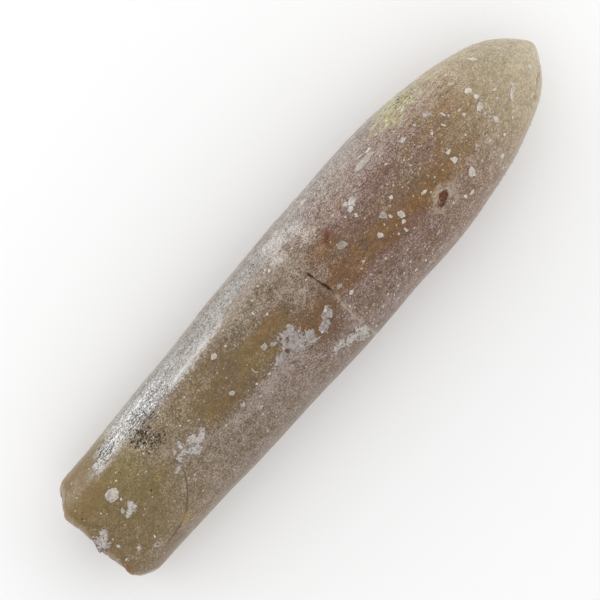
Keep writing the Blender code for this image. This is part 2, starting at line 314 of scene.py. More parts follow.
    def break_shift(self, across: float, height: float) -> float:
        """How far the broken face stands back from the front plane.

        Args:
            across: Distance from the middle line.
            height: Height above the surface the guard lies on.

        Returns:
            The distance, along the guard.
        """
        chip_from, chip_to = self.corner_chip_span
        wear_from, wear_to = self.corner_wear_span
        chipped = ease((across - chip_from) / (chip_to - chip_from))
        worn = ease((-across - wear_from) / (wear_to - wear_from))
        shift = self.corner_chip * chipped**self.corner_chip_bend
        shift += self.corner_wear * worn**self.corner_wear_bend
        shift += self.break_lean * max(0.0, self.height_share * self.front_radius - height)
        rough = self.lumps_at(Vector((0.0, across, height)), self.break_roughness)
        return shift + rough * (1.0 + self.chip_roughness * chipped)

    def place(self, along: float, radius: float, angle: float, proud: float = 0.0) -> Vector:
        """A point of the guard, from its place on the turned profile.

        Args:
            along: Distance from the broken end, before the break is roughened.
            radius: Distance from the axis.
            angle: Angle round the section, from across to up.
            proud: How far the point stands off the skin.

        Returns:
            The point, never under the surface that the guard lies on.
        """
        full = self.radius_at(along)
        centre = self.centre_at(along)
        outward = Vector((0.0, math.cos(angle), self.height_share * math.sin(angle)))
        share = min(1.0, radius / max(full, self.least_radius)) * min(1.0, radius / self.lumps_fade)
        skin = centre + outward * full
        relief = self.lumps_at(skin, self.lumps) - self.shoulder_at(along, angle)
        relief -= self.fracture_at(skin, skin.z > centre.z)
        if skin.z > centre.z:
            relief -= sum(hollow.depth_at(along, skin.y) for hollow in self.hollows)
        point = centre + outward * (radius + relief * share + proud)
        if along < self.break_reach:
            point.x += self.break_shift(point.y, point.z) * (1.0 - along / self.break_reach)
        point.z = max(point.z, 0.0)
        return point

    def angle_of(self, along: float, across: float) -> float:
        """The angle, on the upper side, of a place read from the top view.

        Args:
            along: Distance from the broken end.
            across: Distance from the middle line.

        Returns:
            The angle round the section, from across to up.
        """
        offset = (across - self.centre_at(along).y) / self.radius_at(along)
        return math.acos(min(self.side_limit, max(-self.side_limit, offset)))


class Tone(Enum):
    """The colours of the calcite and of what stains it, and of the painted sheen and glints."""

    OLIVE = (0.190, 0.118, 0.034, 1.0)
    MOSS = (0.200, 0.150, 0.048, 1.0)
    HONEY = (0.180, 0.080, 0.018, 1.0)
    AMBER = (0.215, 0.112, 0.030, 1.0)
    UMBER = (0.110, 0.052, 0.024, 1.0)
    PLUM = (0.170, 0.090, 0.066, 1.0)
    LILAC = (0.380, 0.308, 0.286, 1.0)
    FROST = (0.400, 0.340, 0.282, 1.0)
    CREAM = (0.555, 0.488, 0.370, 1.0)
    OCHRE = (0.330, 0.220, 0.060, 1.0)
    RUST = (0.150, 0.042, 0.009, 1.0)
    STRAW = (0.465, 0.430, 0.185, 1.0)
    # silver patina with painted sheen on it, for the shoulder band and the upper flank
    SILVER_SHEEN = (0.412, 0.423, 0.428, 1.0)
    # painted glints
    GLINT = (0.790, 0.820, 0.850, 1.0)
    CHALK = (0.600, 0.555, 0.510, 1.0)
    SEAM = (0.430, 0.345, 0.260, 1.0)
    SOOT = (0.014, 0.010, 0.008, 1.0)
    CRACK = (0.030, 0.014, 0.007, 1.0)


class Wire:
    """A socket of a shader that takes part in plain arithmetic."""

    def __init__(self, bench: "Bench", socket: bpy.types.NodeSocket) -> None:
        """Keeps the socket and the bench that makes its nodes."""
        self.bench = bench
        self.socket = socket

    def __add__(self, other: "Wire | float") -> "Wire":
        """This and another value together."""
        return self.bench.maths("ADD", self, other)

    def __radd__(self, other: float) -> "Wire":
        """A number and this together."""
        return self.bench.maths("ADD", other, self)

    def __sub__(self, other: "Wire | float") -> "Wire":
        """This less another value."""
        return self.bench.maths("SUBTRACT", self, other)

    def __rsub__(self, other: float) -> "Wire":
        """A number less this."""
        return self.bench.maths("SUBTRACT", other, self)

    def __mul__(self, other: "Wire | float") -> "Wire":
        """This times another value."""
        return self.bench.maths("MULTIPLY", self, other)

    def __rmul__(self, other: float) -> "Wire":
        """A number times this."""
        return self.bench.maths("MULTIPLY", other, self)

    def __truediv__(self, other: "Wire | float") -> "Wire":
        """This over another value."""
        return self.bench.maths("DIVIDE", self, other)

    def __or__(self, other: "Wire | float") -> "Wire":
        """The greater of this and another value."""
        return self.bench.maths("MAXIMUM", self, other)

    def __abs__(self) -> "Wire":
        """This without its sign."""
        return self.bench.maths("ABSOLUTE", self)


class Bench:
    """Where one material's nodes are made and wired."""

    def __init__(self, name: str) -> None:
        """Starts an empty material.

        Args:
            name: The material's name.
        """
        self.material = bpy.data.materials.new(name)
        self.material.use_nodes = True
        self.tree = self.material.node_tree
        self.tree.nodes.clear()

    def node(
        self,
        kind: str,
        settings: dict[str, Any] | None = None,
        sockets: dict[str | int, Any] | None = None,
    ) -> bpy.types.Node:
        """Makes a node.

        Args:
            kind: The node's type.
            settings: What is set on the node itself. "stops" are a ramp's places and colours,
                and "knots" a curve's points.
            sockets: The value, Tone or Wire of each input, by name or number.

        Returns:
            The node.
        """
        made = self.tree.nodes.new(kind)
        for name, setting in (settings or {}).items():
            if name == "stops":
                self.set_stops(made.color_ramp, setting)
            elif name == "knots":
                self.set_knots(made.mapping, setting)
            else:
                setattr(made, name, setting)
        for name, value in (sockets or {}).items():
            if isinstance(value, Wire):
                self.tree.links.new(value.socket, made.inputs[name])
            else:
                made.inputs[name].default_value = value.value if isinstance(value, Tone) else value
        return made

    @staticmethod
    def set_stops(ramp: bpy.types.ColorRamp, stops: tuple[tuple[float, Colour], ...]) -> None:
        """Gives a ramp its stops.

        Args:
            ramp: The ramp, with its two first stops.
            stops: Places from 0 to 1 and their colours.
        """
        while len(ramp.elements) < len(stops):
            ramp.elements.new(1.0)
        for element, (place, colour) in zip(ramp.elements, stops):
            element.position = place
            element.color = colour

    @staticmethod
    def set_knots(mapping: bpy.types.CurveMapping, knots: Knots) -> None:
        """Gives a curve its points.

        Args:
            mapping: The curve, with its two first points.
            knots: Places and values from 0 to 1.
        """
        points = mapping.curves[0].points
        while len(points) < len(knots):
            points.new(1.0, 1.0)
        for point, knot in zip(points, knots):
            point.location = knot
        mapping.update()

    def maths(self, operation: str, *terms: "Wire | float") -> Wire:
        """A Math node on values."""
        made = self.node("ShaderNodeMath", {"operation": operation}, dict(enumerate(terms)))
        return Wire(self, made.outputs[0])

    def vector(self, operation: str, *terms: Any) -> Wire:
        """A Vector Math node whose result is a vector."""
        made = self.node("ShaderNodeVectorMath", {"operation": operation}, dict(enumerate(terms)))
        return Wire(self, made.outputs["Vector"])

    def measure(self, operation: str, *terms: Any) -> Wire:
        """A Vector Math node whose result is a value."""
        made = self.node("ShaderNodeVectorMath", {"operation": operation}, dict(enumerate(terms)))
        return Wire(self, made.outputs["Value"])

    def split(self, vector: Wire) -> tuple[Wire, ...]:
        """The three parts of a vector."""
        made = self.node("ShaderNodeSeparateXYZ", {}, {0: vector})
        return tuple(Wire(self, output) for output in made.outputs)

    def join(self, *parts: "Wire | float") -> Wire:
        """A vector of its parts."""
        made = self.node("ShaderNodeCombineXYZ", {}, dict(enumerate(parts)))
        return Wire(self, made.outputs[0])

    def stretch(self, at: Wire, along: float, around: float) -> Wire:
        """A place whose textures run on along the guard for longer than round it."""
        return self.vector("MULTIPLY", at, (along, around, around))

    def place(self) -> Wire:
        """The place on the fossil, in millimetres of the guard's own frame."""
        spot = self.node("ShaderNodeTexCoord")
        return self.vector("MULTIPLY", Wire(self, spot.outputs["Object"]), (1.0 / MM,) * 3)

    def trait(self, name: str) -> Wire:
        """A value that the mesh carries."""
        made = self.node("ShaderNodeAttribute", {"attribute_name": name})
        return Wire(self, made.outputs["Fac"])

    def mix(self, share: "Wire | float", first: Any, second: Any, blend: str = "MIX") -> Wire:
        """Mixes two colours.

        Args:
            share: How much of the second colour there is.
            first: The first colour.
            second: The second colour.
            blend: How the second is laid on the first.

        Returns:
            The mixed colour.
        """
        settings = {"data_type": "RGBA", "blend_type": blend, "clamp_factor": True}
        made = self.node("ShaderNodeMix", settings, {0: share, 6: first, 7: second})
        return Wire(self, made.outputs[2])

    def step(self, value: Wire, low: float, high: float) -> Wire:
        """A smooth step.

        Args:
            value: The value that it follows.
            low: Where it is 0.
            high: Where it is 1, which may be the smaller.

        Returns:
            The step.
        """
        made = self.node(
            "ShaderNodeMapRange",
            {"interpolation_type": "SMOOTHSTEP"},
            {"Value": value, "From Min": low, "From Max": high},
        )
        return Wire(self, made.outputs[0])

    def noise(self, at: Wire, scale: float, detail: float = 2.0, rough: float = 0.5) -> Wire:
        """Smooth noise from 0 to 1.

        Args:
            at: Where it is read.
            scale: Its lumps in a millimetre.
            detail: How many finer layers it has.
            rough: How strong each finer layer is.

        Returns:
            The noise.
        """
        sockets = {"Vector": at, "Scale": scale, "Detail": detail, "Roughness": rough}
        return Wire(self, self.node("ShaderNodeTexNoise", {}, sockets).outputs[0])

    def drift(self, at: Wire, scale: float, reach: float) -> Wire:
        """A vector that wanders smoothly over the surface.

        Args:
            at: Where it is read.
            scale: Its lumps in a millimetre.
            reach: How far it wanders each way.

        Returns:
            The vector, in millimetres.
        """
        made = self.node("ShaderNodeTexNoise", {}, {"Vector": at, "Scale": scale, "Detail": 2.0})
        wide = (4.0 * reach,) * 3
        back = (-2.0 * reach,) * 3
        return self.vector("MULTIPLY_ADD", Wire(self, made.outputs[1]), wide, back)

    def cells(self, at: Wire, scale: float) -> tuple[Wire, Wire, Wire]:
        """Small cells that fill the surface.

        Args:
            at: Where they are read.
            scale: How many there are in a millimetre.

        Returns:
            The distance from a cell's middle, in cells, and two chances of each cell.
        """
        made = self.node("ShaderNodeTexVoronoi", {}, {"Vector": at, "Scale": scale})
        chances = self.node("ShaderNodeSeparateColor", {}, {0: Wire(self, made.outputs["Color"])})
        first, second = (Wire(self, chances.outputs[number]) for number in (0, 1))
        return Wire(self, made.outputs["Distance"]), first, second

    def specks(self, at: Wire, scale: float, share: "Wire | float", size: float) -> Wire:
        """Small scattered dots.

        Args:
            at: Where they are read.
            scale: How many there could be in a millimetre.
            share: The share of those places that has one.
            size: The radius of the largest, in millimetres.

        Returns:
            A mask that is 1 in the dots.
        """
        distance, chance, growth = self.cells(at, scale)
        there = self.step(chance - share, SPECK_CUT, -SPECK_CUT)
        radius = SMALLEST_SPECK + (1.0 - SMALLEST_SPECK) * growth
        return there * self.step(distance / (radius * (size * scale)), *SPECK_EDGE)

    def curve(self, at: Wire, knots: Knots, values: Span) -> Wire:
        """A value that follows knots along another one.

        Args:
            at: What it follows.
            knots: Places and values.
            values: The range that holds every value.

        Returns:
            The value.
        """
        first, span = knots[0][0], knots[-1][0] - knots[0][0]
        low, high = values
        shares = tuple(((x - first) / span, (y - low) / (high - low)) for x, y in knots)
        made = self.node("ShaderNodeFloatCurve", {"knots": shares}, {"Value": (at - first) / span})
        return Wire(self, made.outputs[0]) * (high - low) + low

    def bump(self, height: Wire) -> Wire:
        """A normal from a height in millimetres."""
        made = self.node("ShaderNodeBump", {}, {"Height": height, "Distance": MM, "Strength": 1.0})
        return Wire(self, made.outputs[0])

    def finish(self, **sockets: Any) -> bpy.types.Material:
        """Ends the material in a Principled shader.

        Args:
            sockets: Its inputs, with _ for each space.

        Returns:
            The material.
        """
        named = {name.replace("_", " "): value for name, value in sockets.items()}
        shader = self.node("ShaderNodeBsdfPrincipled", {}, named)
        output = self.node("ShaderNodeOutputMaterial")
        self.tree.links.new(shader.outputs[0], output.inputs["Surface"])
        return self.material


class Coat:
    """What the layers of a finish add up to: its colour, its relief and its dead-black share."""

    def __init__(self, bench: Bench, colour: Wire, relief: Wire) -> None:
        """Starts with a ground.

        Args:
            bench: The material's bench.
            colour: The ground's colour.
            relief: The ground's height, in millimetres.
        """
        self.bench = bench
        self.colour = colour
        self.relief = relief
        self.black: "Wire | float" = 0.0

    def paint(
        self, share: Wire | float, colour: Any, strength: float = 1.0, rise: float = 0.0
    ) -> None:
        """Lays a colour over what is there.

        Args:
            share: Where it covers, from 0 to 1.
            colour: The colour.
            strength: How much of it covers there.
            rise: How far the layer stands up, in millimetres, below 0 for a dent.
        """
        cover = share if strength == 1.0 else share * strength
        self.colour = self.bench.mix(cover, self.colour, colour)
        if rise:
            self.relief = self.relief + cover * rise

    def mark(self, mark: "Stain | Scratch", at: Wire) -> None:
        """Lays a stain or a scratch in its own colour."""
        self.paint(mark.mask(self.bench, at), mark.tone)

    def shade(self, light: Wire) -> None:
        """Darkens and lightens what is there, by a value around 1."""
        self.colour = self.bench.mix(1.0, self.colour, light, "MULTIPLY")

    def blacken(self, share: Wire, colour: Any, strength: float, dent: float) -> None:
        """Lays dead black that reflects nothing, for the soot specks and for the open gap of the
        fracture.

        Args:
            share: Where it covers, from 0 to 1.
            colour: Its colour.
            strength: How much of it covers there.
            dent: How deep it lies, in millimetres.
        """
        cover = share * strength
        self.paint(cover, colour, rise=-dent)
        self.black = cover | self.black


def sway(texture: Wire, reach: float) -> Wire:
    """A texture from 0 to 1 as a change around 0."""
    return reach * (texture - 0.5)


@dataclass(frozen=True)
class Stain:
    """A soft patch of colour on the upper side, placed from the top view."""

    along: float
    across: float
    half_length: float
    half_width: float
    tone: Tone
    strength: float = 0.8
    edge: float = 0.5

    def mask(self, bench: Bench, at: Wire) -> Wire:
        """Where the stain is.

        Args:
            bench: The material's bench.
            at: The place in the top view, in millimetres.

        Returns:
            A mask, as strong as the stain.
        """
        offset = bench.vector("SUBTRACT", at, (self.along, self.across, 0.0))
        shares = (1.0 / self.half_length, 1.0 / self.half_width, 1.0)
        spread = bench.measure("LENGTH", bench.vector("MULTIPLY", offset, shares))
        return bench.step(spread, 1.0 + self.edge, 1.0 - self.edge) * self.strength


@dataclass(frozen=True)
class Scratch:
    """A straight thin mark on the upper side, from one place of the top view to another."""

    start: tuple[float, float]
    end: tuple[float, float]
    half_width: float
    tone: Tone
    strength: float = 0.7
    core: float = 0.4
    tips: tuple[Fade, Fade] = ((-0.05, 0.08), (1.05, 0.92))
    off_level: Fade = (2.0, 1.0)

    def mask(self, bench: Bench, at: Wire) -> Wire:
        """Where the mark is.

        Args:
            bench: The material's bench.
            at: The place in the top view, in millimetres.

        Returns:
            A mask, as strong as the mark.
        """
        run = Vector(self.end) - Vector(self.start)
        offset = bench.vector("SUBTRACT", at, (*self.start, 0.0))
        ahead = bench.measure("DOT_PRODUCT", offset, (*(run / run.length_squared), 0.0))
        aside = bench.measure("DOT_PRODUCT", offset, (-run.y / run.length, run.x / run.length, 0.0))
        height = bench.measure("LENGTH", bench.vector("MULTIPLY", offset, (0.0, 0.0, 1.0)))
        inside = bench.step(ahead, *self.tips[0]) * bench.step(ahead, *self.tips[1])
        inside = inside * bench.step(height, *self.off_level)
        line = bench.step(abs(aside), self.half_width, self.core * self.half_width)
        return inside * line * self.strength


@dataclass(frozen=True)
class Zone:
    """A part of the guard with soft limits along it and across it."""

    along: tuple[Fade, ...] = ()
    across: tuple[Fade, ...] = ()
    strength: float = 1.0


class Skin:
    """Where the guard's skin is read, and the textures that its layers share."""

    upper_heights: Fade = (6.0, 9.5)
    under_drop: float = 60.0

    def __init__(self, bench: Bench) -> None:
        """Makes the nodes that every layer reads.

        Args:
            bench: The material's bench.
        """
        self.bench = bench
        self.at = bench.place()
        self.along, self.across, self.up = bench.split(self.at)
        self.upper = bench.step(self.up, *self.upper_heights)
        self.flat = bench.join(self.along, self.across, self.under_drop * (1.0 - self.upper))
        self.ripple = bench.vector("ADD", self.flat, bench.drift(self.at, scale=1.3, reach=0.35))
        self.loose = bench.vector("ADD", self.ripple, bench.drift(self.at, scale=0.28, reach=1.6))
        self.crumbly = bench.vector("ADD", self.at, bench.drift(self.at, scale=3.0, reach=0.13))
        drawn_out = bench.stretch(self.at, along=0.70, around=1.0)
        self.cloud = bench.noise(self.at, scale=0.16, detail=4.0, rough=0.55)
        self.mottle = bench.noise(self.at, scale=0.70, detail=3.0, rough=0.6)
        self.grit = bench.noise(self.at, scale=1.8, detail=3.0, rough=0.7)
        self.grain = bench.noise(drawn_out, scale=4.6, detail=1.0, rough=0.6)
        self.sugar = bench.cells(drawn_out, scale=8.0)[1]
        threads = bench.stretch(self.at, along=0.20, around=1.7)
        self.fibre = bench.noise(threads, scale=1.3, rough=0.6)
        self.lanes = bench.noise(bench.stretch(self.at, along=0.05, around=0.75), scale=1.0)

    def inside(self, zone: Zone) -> Wire:
        """Where a zone is.

        Args:
            zone: The zone.

        Returns:
            A mask, as strong as the zone.
        """
        steps = [self.bench.step(self.along, *fade) for fade in zone.along]
        steps += [self.bench.step(self.across, *fade) for fade in zone.across]
        mask = steps[0]
        for step in steps[1:]:
            mask = mask * step
        return mask if zone.strength == 1.0 else mask * zone.strength


@dataclass(frozen=True)
class CalciteFinish:
    """The worn skin: clear brown calcite under a pale frosted bloom."""

    specular: float = 0.34
    subsurface: float = 0.20
    depth_of_light: tuple[float, float, float] = (1.8, 1.0, 0.5)
    clear_stops: tuple[tuple[float, Colour], ...] = (
        (0.00, (0.182, 0.118, 0.040, 1.0)),
        (0.13, (0.192, 0.134, 0.048, 1.0)),
        (0.24, (0.158, 0.106, 0.048, 1.0)),
        (0.38, (0.153, 0.097, 0.042, 1.0)),
        (0.50, (0.138, 0.074, 0.031, 1.0)),
        (0.62, (0.148, 0.076, 0.033, 1.0)),
        (0.76, (0.190, 0.108, 0.046, 1.0)),
        (0.85, (0.310, 0.225, 0.130, 1.0)),
        (0.93, (0.425, 0.345, 0.220, 1.0)),
        (1.00, (0.560, 0.480, 0.340, 1.0)),
    )
    stains: tuple[Stain, ...] = each(
        Stain,
        (10.5, 4.6, 5.0, 2.6, Tone.MOSS, 0.8), (4.8, 7.2, 4.6, 3.4, Tone.OLIVE, 1.0),
        (29.5, -0.6, 5.0, 2.2, Tone.OLIVE, 0.9), (37.5, 0.2, 7.5, 2.4, Tone.OLIVE, 0.9),
        (27.0, 3.4, 7.0, 2.2, Tone.OLIVE, 0.65), (42.0, 1.8, 3.4, 1.0, Tone.AMBER, 0.6),
        (47.0, -2.8, 3.4, 2.4, Tone.HONEY, 0.8), (48.0, -6.6, 4.0, 1.6, Tone.PLUM, 0.8),
        (57.0, -1.2, 7.0, 3.0, Tone.HONEY, 0.85), (56.5, 3.7, 4.0, 1.6, Tone.HONEY, 0.75),
        (65.0, -0.4, 5.0, 1.3, Tone.AMBER, 0.7), (69.0, -3.2, 7.0, 1.8, Tone.HONEY, 0.9),
        (78.0, -2.8, 4.5, 1.8, Tone.AMBER, 0.6), (67.0, 4.0, 9.0, 2.6, Tone.PLUM, 0.8),
        (77.0, 1.4, 4.0, 1.8, Tone.PLUM, 0.55), (64.0, -5.8, 9.0, 1.7, Tone.PLUM, 0.85),
        (83.0, 2.6, 4.5, 3.0, Tone.AMBER, 0.30),
    )
    bare: tuple[Stain, ...] = each(
        Stain,
        (5.0, 1.5, 10.0, 10.0, Tone.MOSS, 0.80, 0.6),
        (34.0, -0.2, 11.0, 2.9, Tone.OLIVE, 0.85, 0.35), (13.0, -0.8, 4.0, 1.2, Tone.OLIVE, 0.5),
        (28.0, 3.6, 9.0, 2.6, Tone.OLIVE, 0.50), (39.0, 4.2, 8.0, 2.6, Tone.OLIVE, 0.12),
        (42.0, 1.8, 4.0, 1.3, Tone.AMBER, 0.6), (47.5, -3.8, 3.6, 3.0, Tone.HONEY, 0.85),
        (56.2, 3.4, 3.4, 1.6, Tone.HONEY, 0.42), (60.5, 1.5, 4.5, 1.2, Tone.HONEY, 0.32),
        (62.0, -6.6, 10.0, 2.6, Tone.PLUM, 0.36), (57.5, -1.9, 7.0, 2.2, Tone.HONEY, 0.80),
        (69.0, -2.4, 8.0, 2.4, Tone.HONEY, 1.05), (66.0, 2.6, 13.0, 2.6, Tone.PLUM, 0.35),
        (78.0, -2.2, 6.0, 2.4, Tone.AMBER, 0.50), (84.0, 2.0, 6.0, 2.4, Tone.AMBER, 0.35),
        (91.0, -0.5, 12.0, 9.0, Tone.CREAM, 0.55, 0.9),
        (22.0, -7.5, 8.0, 3.0, Tone.OLIVE, 0.16, 0.6), (4.6, 7.2, 4.6, 4.0, Tone.MOSS, 1.00, 0.5),
        (70.0, -7.8, 6.0, 2.2, Tone.PLUM, 0.16, 0.6),
    )
    shoreline: Stain = Stain(34.0, -4.1, 7.5, 1.2, Tone.LILAC, 0.42, 0.30)
    # a pale chalky haze on the upper flank, partly a painted sheen
    haze_and_sheen: Stain = Stain(52.5, 8.1, 4.6, 2.0, Tone.CHALK, 0.90, 0.6)
    marks: tuple[Stain, ...] = each(
        Stain,
        (0.4, -6.2, 0.8, 0.9, Tone.HONEY, 0.9, 0.7), (11.8, -7.7, 1.1, 0.5, Tone.OCHRE, 0.5, 0.7),
        (6.0, -9.0, 4.0, 0.7, Tone.UMBER, 0.30, 0.9),
        (72.3, -6.0, 0.50, 0.32, Tone.CRACK, 0.7, 0.4),
        (51.82, -0.85, 0.22, 0.65, Tone.CRACK, 0.85, 0.4),
        (51.45, 1.9, 0.16, 0.40, Tone.CRACK, 0.70, 0.4),
        (30.0, -1.3, 0.70, 0.45, Tone.UMBER, 0.7, 0.5),
        (40.7, -2.8, 0.34, 0.42, Tone.UMBER, 0.9, 0.4),
    )
    dots: tuple[tuple[float, float, float], ...] = (
        (11.6, -1.2, 0.14), (20.0, 1.1, 0.13), (22.3, 2.9, 0.12), (23.3, 3.2, 0.11),
        (22.4, 6.9, 0.14), (18.1, 2.0, 0.13), (26.5, 3.6, 0.12), (28.3, -8.4, 0.13),
        (1.5, 3.8, 0.11),
    )
    grime: tuple[Stain, ...] = each(
        Stain,
        (16.9, 5.6, 2.3, 2.4, Tone.SOOT, 0.80, 0.5), (18.8, 6.9, 3.0, 1.6, Tone.SOOT, 0.78, 0.5),
        (17.8, 3.1, 2.4, 1.3, Tone.SOOT, 0.72, 0.5), (11.4, 7.9, 2.0, 0.8, Tone.SOOT, 0.80, 0.5),
        (22.6, 7.2, 3.4, 1.6, Tone.SOOT, 0.50, 0.6), (80.0, 8.9, 3.0, 0.9, Tone.SOOT, 0.55, 0.6),
    )
    pit: tuple[Stain, ...] = each(
        Stain,
        (73.55, -5.15, 0.86, 0.60, Tone.RUST, 1.0, 0.22),
        (72.55, -5.80, 0.84, 0.52, Tone.RUST, 1.0, 0.22),
    )
    pit_fringe: tuple[Stain, ...] = each(
        Stain,
        (73.6, -4.7, 1.8, 1.2, Tone.SEAM, 0.85, 0.40),
        (72.2, -5.9, 1.1, 0.9, Tone.SEAM, 0.45, 0.50),
        (74.9, -6.1, 0.8, 1.2, Tone.SEAM, 0.60, 0.50),
    )
    squiggle: Stain = Stain(14.3, -0.75, 1.7, 0.5, Tone.OCHRE, 0.95, 0.2)
    fibrous: Stain = Stain(80.3, 8.9, 5.6, 1.8, Tone.STRAW, 1.0, 0.5)
    scratches: tuple[Scratch, ...] = each(
        Scratch,
        ((58.0, 6.7), (61.3, 8.2), 0.16, Tone.UMBER, 0.75),
        ((56.4, 3.3), (58.1, 4.1), 0.62, Tone.RUST, 0.95),
        ((58.1, 4.9), (57.1, 3.0), 0.42, Tone.RUST, 0.85),
        ((56.7, 3.3), (57.8, 3.95), 0.26, Tone.CRACK, 0.55),
        ((93.4, -6.1), (98.2, -3.3), 0.24, Tone.AMBER, 0.50),
        # a painted glint streak where the silver band starts
        ((8.4, 7.6), (12.6, 8.3), 0.20, Tone.GLINT, 0.45),
        ((90.9, -3.7), (93.0, -2.1), 0.22, Tone.CHALK, 0.75),
        ((35.0, -0.6), (35.5, -1.6), 0.16, Tone.CHALK, 0.60),
        ((86.9, 5.3), (87.4, 4.5), 0.14, Tone.CHALK, 0.75),
    )
    hairline: Knots = (
        (5.0, -8.1), (7.0, -8.2), (9.5, -8.0), (12.5, -7.2), (14.0, -6.2), (15.5, -4.9),
        (16.6, -3.6), (17.3, -2.6), (20.0, 1.4),
    )
    silver_edge: Knots = (
        (0.0, 7.4), (6.5, 6.5), (9.0, 6.6), (20.0, 6.5), (27.0, 6.3), (33.0, 6.8), (37.0, 7.3),
        (39.0, 8.1), (50.0, 8.0), (62.0, 8.6), (72.0, 9.6),
    )
    # The limits of the masks. Zones are places on the guard, a _line is a distance off a line in
    # millimetres, and a _cut, or a name that ends in a texture, is a level of a texture.
    laned: Zone = Zone(((46.0, 60.0), (92.0, 80.0)))
    amber_lanes: Fade = (0.47, 0.36)
    plum_lanes: Fade = (0.53, 0.66)
    deep_clouds: Fade = (0.60, 0.36)
    bareness: float = 0.80
    frost_cover: float = 0.54
    frost_light: float = 0.89
    frosted: tuple[Zone, ...] = (
        Zone(across=((-3.0, -7.0),), strength=0.05),
        # frost on the upper flank, which is also painted sheen there
        Zone(((46.0, 58.0),), ((4.0, 8.0),), 0.30),
    )
    frost_cut: Fade = (0.44, 0.96)
    frost_across: Fade = (-6.0, 3.0)
    frost_tones: tuple[tuple[Zone, Tone], ...] = (
        (Zone(((48.0, 60.0),), ((2.0, 5.0),), 0.8), Tone.LILAC),
        # a painted sheen of cool light on the upper flank near the apex
        (Zone(((92.0, 78.0),), ((7.0, 10.0),), 0.55), Tone.SILVER_SHEEN),
        (Zone(((80.0, 94.0),)), Tone.CREAM),
    )
    veil_cut: Fade = (0.38, 0.66)
    streak_cut: Fade = (0.35, 0.65)
    streaked: Zone = Zone(((48.0, 64.0),), strength=0.7)
    busy: Zone = Zone(((50.0, 62.0),), strength=0.40)
    calm: Zone = Zone(((82.0, 93.0),), strength=0.60)
    # painted shade: darkens the upper side near the apex against the window lamp's light
    painted_shade_apex: Zone = Zone(((86.0, 95.0),), ((-1.0, 2.5),), 0.13)
    silver_range: Span = (0.0, 12.0)
    silver_softness: float = 0.30
    silver_softer: tuple[Zone, ...] = (Zone(((38.0, 54.0),)), Zone(((25.0, 12.0),), strength=0.7))
    silver_cut: Fade = (-1.0, 1.6)
    silver_heights: Fade = (4.0, 8.0)
    silver_run: Zone = Zone(((70.0, 38.0), (5.5, 8.0)))
    silver_gaps: tuple[Zone, ...] = (
        Zone(across=((9.3, 10.4),), strength=0.5),
        Zone(((15.5, 11.0),), ((8.2, 9.2),)),
        Zone(((11.5, 8.5),), ((6.9, 8.0),)),
    )
    silver_streaks: Fade = (0.40, 0.60)
    rim_line: Fade = (0.14, 0.04)
    rim_run: Zone = Zone(((24.0, 27.0), (40.0, 37.0)))
    rim_grit: Fade = (0.38, 0.54)
    bright_run: Zone = Zone(((5.5, 9.0), (29.0, 22.0)), ((9.9, 9.0),))
    glint_cut: Fade = (0.46, 0.60)
    healed: Zone = Zone(across=((-1.8, -4.2),))
    halo_line: Fade = (0.80, 0.15)
    halo_grit: Fade = (0.42, 0.58)
    seam_line: Fade = (0.22, 0.08)
    seam_run: Zone = Zone(across=((8.0, 3.0),))
    seam_mottle: Fade = (0.36, 0.56)
    opening_soft: float = 0.5
    dash_layer: float = 3.0
    gap_dashes: Fade = (0.38, 0.62)
    gap_middle: float = -0.9
    gap_swelling: Fade = (1.2, 0.4)
    gap_line: Fade = (1.0, 0.6)
    brown_line: Fade = (0.55, 0.15)
    brown_cut: Fade = (0.44, 0.56)
    fibrous_dashes: Fade = (0.40, 0.54)
    fibrous_white: Fade = (0.58, 0.66)
    hairline_range: Span = (-10.0, 2.0)
    hairline_line: Fade = (0.22, 0.06)
    hairline_run: Zone = Zone(((6.4, 8.0), (17.5, 16.8)))
    fringe_grit: Fade = (0.34, 0.56)
    pit_grit: Fade = (0.46, 0.60)
    pit_grain: Fade = (0.50, 0.66)
    wriggle_line: Fade = (0.055, 0.02)
    grime_mottle: Fade = (0.35, 0.6)
    soot_cut: Fade = (0.700, 0.755)
    soot_limit: Fade = (0.04, 0.12)
    lower_half: Zone = Zone(((38.0, 55.0),), ((-2.0, -6.0),))
    apex_end: Zone = Zone(((64.0, 78.0),))
    crown: Zone = Zone(((50.0, 60.0),), ((5.5, 9.0),))
    lip_line: Fade = (0.9, 0.2)

    def clear(self, coat: Coat, skin: Skin) -> None:
        """Lays the tones of the clear calcite.

        Args:
            coat: What they are laid on.
            skin: Where it is read.
        """
        bench = coat.bench
        laned = skin.inside(self.laned)
        coat.paint(bench.step(skin.lanes, *self.amber_lanes) * laned, Tone.AMBER, strength=0.6)
        for stain in self.stains:
            coat.mark(stain, skin.loose)
        coat.paint(bench.step(skin.lanes, *self.plum_lanes) * laned, Tone.PLUM, strength=0.55)
        deep = bench.step(skin.cloud, *self.deep_clouds) * (1.0 - skin.upper)
        coat.paint(deep, Tone.HONEY, strength=0.7)

